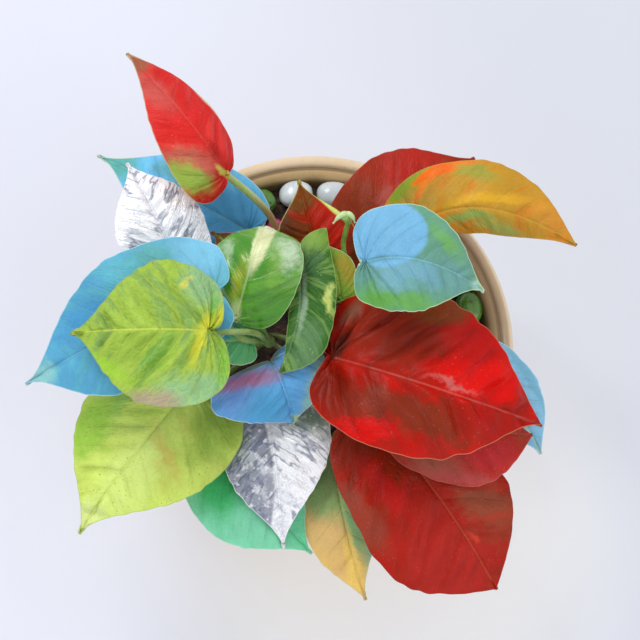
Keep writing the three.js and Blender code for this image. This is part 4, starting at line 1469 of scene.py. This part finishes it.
@dataclass(frozen=True)
class SoilLook:
    """Dark peaty soil with reddish crumbs."""

    dark: Colour = (50, 38, 32)
    brown: Colour = (96, 72, 58)
    red: Colour = (136, 84, 62)

    def material(self, name: str, crumbs: float) -> bpy.types.Material:
        """Build the shader.

        Args:
            name: The material's name.
            crumbs: How much of it is the lighter colours, from 0 to 1.

        Returns:
            The material.
        """
        board = Board(name)
        place = board.place()
        cloud = board.clouds(place, 180, 4, 0.65)
        grain = board.clouds(place, 900, 4, 0.7)
        colour = board.layer(self.dark, (cloud.ease(0.42, 0.62) * crumbs, self.brown),
                             (grain.ease(0.6, 0.68) * crumbs, self.red))
        colour = board.shade(colour, 0.7 + grain * 0.6)
        shine = 0.85 + (grain - 0.5) * 0.25
        relief = board.bump(grain + cloud, 0.5 * MM)
        return board.finish({"Base Color": colour, "Roughness": shine, "Normal": relief})


class Stone(Enum):
    """The kinds of pebble: colour, second colour, and roughness."""

    WHITE = ((218, 225, 226), (196, 206, 206), 0.28)
    GREEN = ((88, 140, 44), (60, 104, 34), 0.2)
    PINK = ((208, 44, 108), (160, 30, 80), 0.2)
    PLUM = ((44, 30, 54), (24, 18, 30), 0.16)

    def material(self) -> bpy.types.Material:
        """Build the shader.

        Returns:
            The material.
        """
        first, second, rough = self.value
        board = Board(f"pebble_{self.name.lower()}")
        place = board.place()
        cloud = board.clouds(place, 130, 4, 0.6)
        grain = board.clouds(place, 900, 3)
        colour = board.blend(cloud.ease(0.4, 0.65), first, second)
        colour = board.shade(colour, 1.0 + (grain - 0.5) * 0.14)
        shine = rough + (cloud - 0.5) * 0.14
        relief = board.bump(grain * 0.5 + cloud, 0.1 * MM)
        return board.finish({"Base Color": colour, "Roughness": shine, "Normal": relief,
                             "Coat Weight": 0.4, "Coat Roughness": 0.1})


@dataclass
class Pot:
    """The squat round pot with its rolled lip, groove and inner band."""

    sides: int = 160
    foot: tuple[float, float] = (45.5, 47.0)
    foot_height: float = 1.5
    outside: tuple[tuple[float, float], ...] = (
        (49.0, 7.0), (51.2, 13.5), (53.5, 20.0), (56.6, 29.3), (59.6, 38.6), (62.5, 48.0),
        (65.3, 57.0), (68.0, 66.0), (70.3, 73.3), (71.2, 74.8), (73.0, 75.7), (74.6, 76.5),
        (75.5, 77.6), (76.0, 79.2))
    rim: tuple[tuple[float, float], ...] = (
        (76.0, 81.5), (76.0, 84.4), (75.9, 86.2), (75.4, 88.0), (74.5, 89.3), (73.4, 89.9),
        (72.4, 89.9), (71.6, 89.7), (71.1, 89.3), (70.8, 88.5), (70.5, 88.1), (70.1, 88.1),
        (69.8, 88.5), (69.4, 88.8), (68.8, 88.6), (67.9, 87.9), (67.1, 86.9), (66.8, 85.9))
    inside: tuple[tuple[float, float], ...] = (
        (66.3, 83.0), (65.9, 80.4), (63.5, 65.2), (61.0, 50.0), (57.0, 36.0), (53.0, 22.0),
        (46.0, 7.0), (43.0, 6.0))

    def build(self) -> None:
        """Draw the pot up from its foot, ring by ring."""
        Bench.clear()
        bpy.ops.mesh.primitive_cylinder_add(
            vertices=self.sides, radius=self.foot[0] * MM, depth=self.foot_height * MM,
            location=(0, 0, self.foot_height * MM / 2))
        pot = bpy.context.active_object
        pot.name = "turned_pot"
        Bench.settle(pot)
        top = self.foot_height * MM
        bpy.ops.object.mode_set(mode="EDIT")
        bpy.ops.mesh.select_mode(type="FACE")
        bpy.ops.mesh.select_all(action="DESELECT")
        bpy.ops.object.mode_set(mode="OBJECT")
        for face in pot.data.polygons:
            face.select = face.normal.z > 0.5 and face.center.z > top / 2
        bpy.ops.object.mode_set(mode="EDIT")
        grown = self.foot[1] / self.foot[0]
        bpy.ops.transform.resize(value=(grown, grown, 1), center_override=(0, 0, 0))
        radius, height = self.foot[1], self.foot_height
        for next_radius, next_height in (*self.outside, *self.rim, *self.inside):
            rise = (next_height - height) * MM
            bpy.ops.mesh.extrude_region_move(TRANSFORM_OT_translate={"value": (0, 0, rise)})
            ratio = next_radius / radius
            bpy.ops.transform.resize(value=(ratio, ratio, 1), center_override=(0, 0, 0))
            radius, height = next_radius, next_height
        bpy.ops.object.mode_set(mode="OBJECT")
        Bench.smooth(pot, 50)
        pot.data.materials.append(Glaze().material())
        stand_for(pot, "pot_glaze", "pot")


@dataclass
class Soil:
    """The soil in the pot, with crumbs on it."""

    level: float = 80.4
    mound_radius: float = 24.0
    mound_rise: float = 2.6
    around: int = 150
    crumbs: int = 620
    crumb_reach: float = 63.0
    crumb_shapes: int = 4
    smallest: float = 0.45
    largest: float = 1.5
    seed: int = 5
    wall: tuple[tuple[float, float], ...] = (
        (65.3, 79.4), (60.4, 50.3), (52.4, 22.3), (45.4, 7.3), (0.0, 7.3))
    rings: int = 56

    def height(self, x: float, y: float) -> float:
        """Give the height of the soil in millimetres.

        Args:
            x: To the right of the middle.
            y: Away from the front.

        Returns:
            The height above the pot's foot.
        """
        rise = max(0.0, 1 - (x * x + y * y) / self.mound_radius ** 2)
        lumps = noise.noise(Vector((x / 4.5, y / 4.5, 0.0))) * 0.8
        grit = noise.noise(Vector((x / 1.4, y / 1.4, 3.0))) * 0.4
        return self.level + self.mound_rise * rise * rise - 0.5 + lumps + grit

    def build(self) -> None:
        """Model the soil and its crumbs."""
        rim = self.wall[0][0]

        def place(column: int, row: int) -> Vector:
            """Give a corner of the plug of soil.

            Args:
                column: How far round.
                row: How far out from the middle of the top, and then down the wall.

            Returns:
                Its place, in metres.
            """
            angle = 2 * math.pi * column / self.around
            if row <= self.rings:
                radius = rim * row / self.rings
                x, y = radius * math.cos(angle), radius * math.sin(angle)
                return Vector((x, y, self.height(x, y) if row else self.height(0, 0))) * MM
            radius, z = self.wall[row - self.rings - 1]
            return Vector((radius * math.cos(angle), radius * math.sin(angle), z)) * MM

        soil = Bench.grid("soil_plug", self.around, self.rings + len(self.wall), place)
        Bench.close(soil, turn=True)
        Bench.smooth(soil, 50)
        soil.data.materials.append(SoilLook().material("soil_ground", 0.8))
        stand_for(soil, "soil", "soil")
        self.scatter()

    def scatter(self) -> None:
        """Strew crumbs of a few shapes over the soil, as one piece."""
        draw = random.Random(self.seed)
        shapes = []
        for number in range(self.crumb_shapes):
            Bench.clear()
            bpy.ops.mesh.primitive_ico_sphere_add(subdivisions=2, radius=1.0)
            shape = bpy.context.active_object
            for vertex in shape.data.vertices:
                bump = noise.noise(vertex.co * 1.3 + Vector((number * 7.0, 0, 0)))
                vertex.co *= 1 + 0.45 * bump
            shapes.append(shape)
        crumbs = []
        for number in range(self.crumbs):
            angle = draw.uniform(0, 2 * math.pi)
            radius = self.crumb_reach * math.sqrt(draw.random())
            x, y = radius * math.cos(angle), radius * math.sin(angle)
            size = draw.uniform(self.smallest, self.largest)
            mesh = shapes[number % len(shapes)].data.copy()
            turn = Matrix.Rotation(draw.uniform(0, 6.28), 4, draw.choice("XYZ"))
            stretch = Matrix.Diagonal((size * 1.2, size, size * 0.8, 1.0))
            lift = Matrix.Translation(Vector((x, y, self.height(x, y) + size * 0.25)))
            mesh.transform(Matrix.Scale(MM, 4) @ lift @ turn @ stretch)
            crumb = bpy.data.objects.new(f"crumb_{number}", mesh)
            bpy.context.scene.collection.objects.link(crumb)
            crumbs.append(crumb)
        for shape in shapes:
            bpy.data.objects.remove(shape, do_unlink=True)
        joined = Bench.weld(crumbs, "soil_crumbs")
        Bench.smooth(joined, 30)
        joined.data.materials.append(SoilLook().material("soil_crumb", 1.0))
        stand_for(joined, "soil")


@dataclass
class Pebbles:
    """Polished stones on the soil, most of them in a ring by the wall."""

    nominal: tuple[float, float, float] = (5.2, 6.7, 4.2)
    detail: int = 5
    unevenness: float = 0.1
    squareness: float = 2.3

    def build(self, nodes: list[str]) -> None:
        """Model a smooth stone for every pebble node.

        Args:
            nodes: The names of the pebble nodes.
        """
        looks = {stone.name.lower(): stone.material() for stone in Stone}
        for number, node in enumerate(nodes):
            self.stone(node, number, looks[node.split("_")[1]])

    def stone(self, node: str, number: int, look: bpy.types.Material) -> None:
        """Model one stone in its node's box.

        Args:
            node: The pebble node.
            number: Which stone it is, for its own unevenness.
            look: Its material.
        """
        low, high = (Vector(corner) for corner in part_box(node))
        middle = (low + high) / 2
        Bench.clear()
        bpy.ops.mesh.primitive_ico_sphere_add(subdivisions=self.detail, radius=1.0)
        stone = bpy.context.active_object
        stone.name = node.replace("pebble", "stone")
        deep, broad, tall = self.nominal
        turn = Matrix.Rotation(math.atan2(middle.y, middle.x), 3, "Z")
        for vertex in stone.data.vertices:
            way = vertex.co.copy()
            swell = noise.noise(way * 0.9 + Vector((number * 3.1, 0, 0))) * self.unevenness
            fat = 1.0 / sum(abs(w) ** self.squareness for w in way) ** (1 / self.squareness)
            way *= (1 + swell) * fat
            vertex.co = turn @ Vector((way.x * deep, way.y * broad, way.z * tall))
        corners = [vertex.co for vertex in stone.data.vertices]
        for axis in range(3):
            least = min(c[axis] for c in corners)
            most = max(c[axis] for c in corners)
            scale = (high[axis] - low[axis]) / (most - least)
            for corner in corners:
                corner[axis] = low[axis] + (corner[axis] - least) * scale
        Bench.smooth(stone, 60)
        stone.data.materials.append(look)
        stand_for(stone, f"pebble_{node.split('_')[1]}", node)


# Studio


@dataclass
class Studio:
    """A pale floor, soft light and the camera that looks down from the front.

    The camera is placed in millimetres, and the floor, its painted shade and painted light, and the lamps
    in metres.
    """

    tilt: float = 16.0
    turn: float = 20.0
    aim: Point = (0.4, 8.8, 88.0)
    distance: float = 800.0
    lens: float = 117.0
    sensor: float = 36.0
    floor_size: float = 6.0
    floor_colour: Colour = (221, 223, 234)
    # painted shade: the floor darker to the right, away from the window lamp
    floor_shaded_right: Colour = (207, 210, 217)
    # painted light: a lighter patch in front of the pot that thins the plant's shadow
    floor_painted_light: Colour = (252, 253, 255)
    painted_light_at: tuple[float, float] = (0.045, -0.07)
    painted_light_out: float = 0.115
    painted_light_in: float = 0.045
    sky: tuple[float, float, float, float] = (0.93, 0.95, 1.0, 1.0)
    sky_light: float = 0.83
    lamps: tuple[tuple[str, Point, float, float], ...] = (
        ("window", (-0.7, 0.8, 1.7), 0.8, 16.0), ("card", (1.0, -0.9, 1.2), 1.2, 5.0))
    lit: Point = (0.0, 0.0, 0.12)

    def build(self) -> None:
        """Set up the camera, the floor and the lights."""
        self.camera()
        self.floor()
        self.lights()

    def camera(self) -> None:
        """Add the camera."""
        tilt, turn = math.radians(self.tilt), math.radians(self.turn)
        back = Vector((-math.sin(tilt) * math.sin(turn), -math.sin(tilt) * math.cos(turn),
                       math.cos(tilt)))
        right = Vector((0, 1, 0)).cross(back).normalized()
        up = back.cross(right)
        data = bpy.data.cameras.new("camera")
        data.lens = self.lens
        data.sensor_width = self.sensor
        data.sensor_fit = "HORIZONTAL"
        camera = bpy.data.objects.new("camera", data)
        bpy.context.scene.collection.objects.link(camera)
        eye = (Vector(self.aim) + back * self.distance) * MM
        turned = Matrix((right, up, back)).transposed().to_4x4()
        camera.matrix_world = Matrix.Translation(eye) @ turned
        bpy.context.scene.camera = camera

    def floor(self) -> None:
        """Add the floor that the pot stands on, with painted shade to the right and a patch of painted
        light where the plant's shadow falls.
        """
        Bench.clear()
        bpy.ops.mesh.primitive_plane_add(size=self.floor_size, location=(0, 0, 0))
        floor = bpy.context.active_object
        floor.name = "floor"
        board = Board("floor_paper")
        place = board.place()
        x, y, _ = board.split(place)
        # painted shade towards the right
        shade_to_right = (x + y * 0.5).ease(-0.02, 0.19)
        # painted light in front of the pot, over the plant's shadow
        from_painted_light = board.length(board.join(x - self.painted_light_at[0], y - self.painted_light_at[1]))
        colour = board.layer(self.floor_colour, (shade_to_right, self.floor_shaded_right),
                             (from_painted_light.ease(self.painted_light_out, self.painted_light_in), self.floor_painted_light))
        colour = board.shade(colour, 0.99 + board.clouds(place, 40, 3) * 0.02)
        floor.data.materials.append(board.finish({"Base Color": colour, "Roughness": 0.7}))

    def lights(self) -> None:
        """Add the pale surroundings and two soft lights."""
        scene = bpy.context.scene
        world = bpy.data.worlds.new("studio")
        scene.world = world
        world.use_nodes = True
        sky = world.node_tree.nodes["Background"]
        sky.inputs["Color"].default_value = self.sky
        sky.inputs["Strength"].default_value = self.sky_light
        scene.view_settings.view_transform = "Standard"
        scene.view_settings.look = "None"
        for lamp in self.lamps:
            self.lamp(*lamp)

    def lamp(self, name: str, place: Point, size: float, power: float) -> None:
        """Add a square soft light that points at the plant.

        Args:
            name: Its name.
            place: Where it hangs, in metres.
            size: The length of its side.
            power: Its power in watts.
        """
        data = bpy.data.lights.new(name, "AREA")
        data.size = size
        data.energy = power
        lamp = bpy.data.objects.new(name, data)
        bpy.context.scene.collection.objects.link(lamp)
        lamp.location = place
        away = Vector(place) - Vector(self.lit)
        lamp.rotation_euler = away.to_track_quat("Z", "Y").to_euler()


def main() -> None:
    """Build the studio and then the plant, from the pot up."""
    logging.basicConfig(level=logging.INFO, format="%(message)s")
    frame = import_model()
    Studio().build()
    Pot().build()
    Soil().build()
    Pebbles().build([name for name in frame["nodes"] if name.startswith("pebble_")])
    Stems().build(LEAVES)
    for leaf in LEAVES:
        leaf.build()
    Bench.clear()


if __name__ == "__main__":
    main()
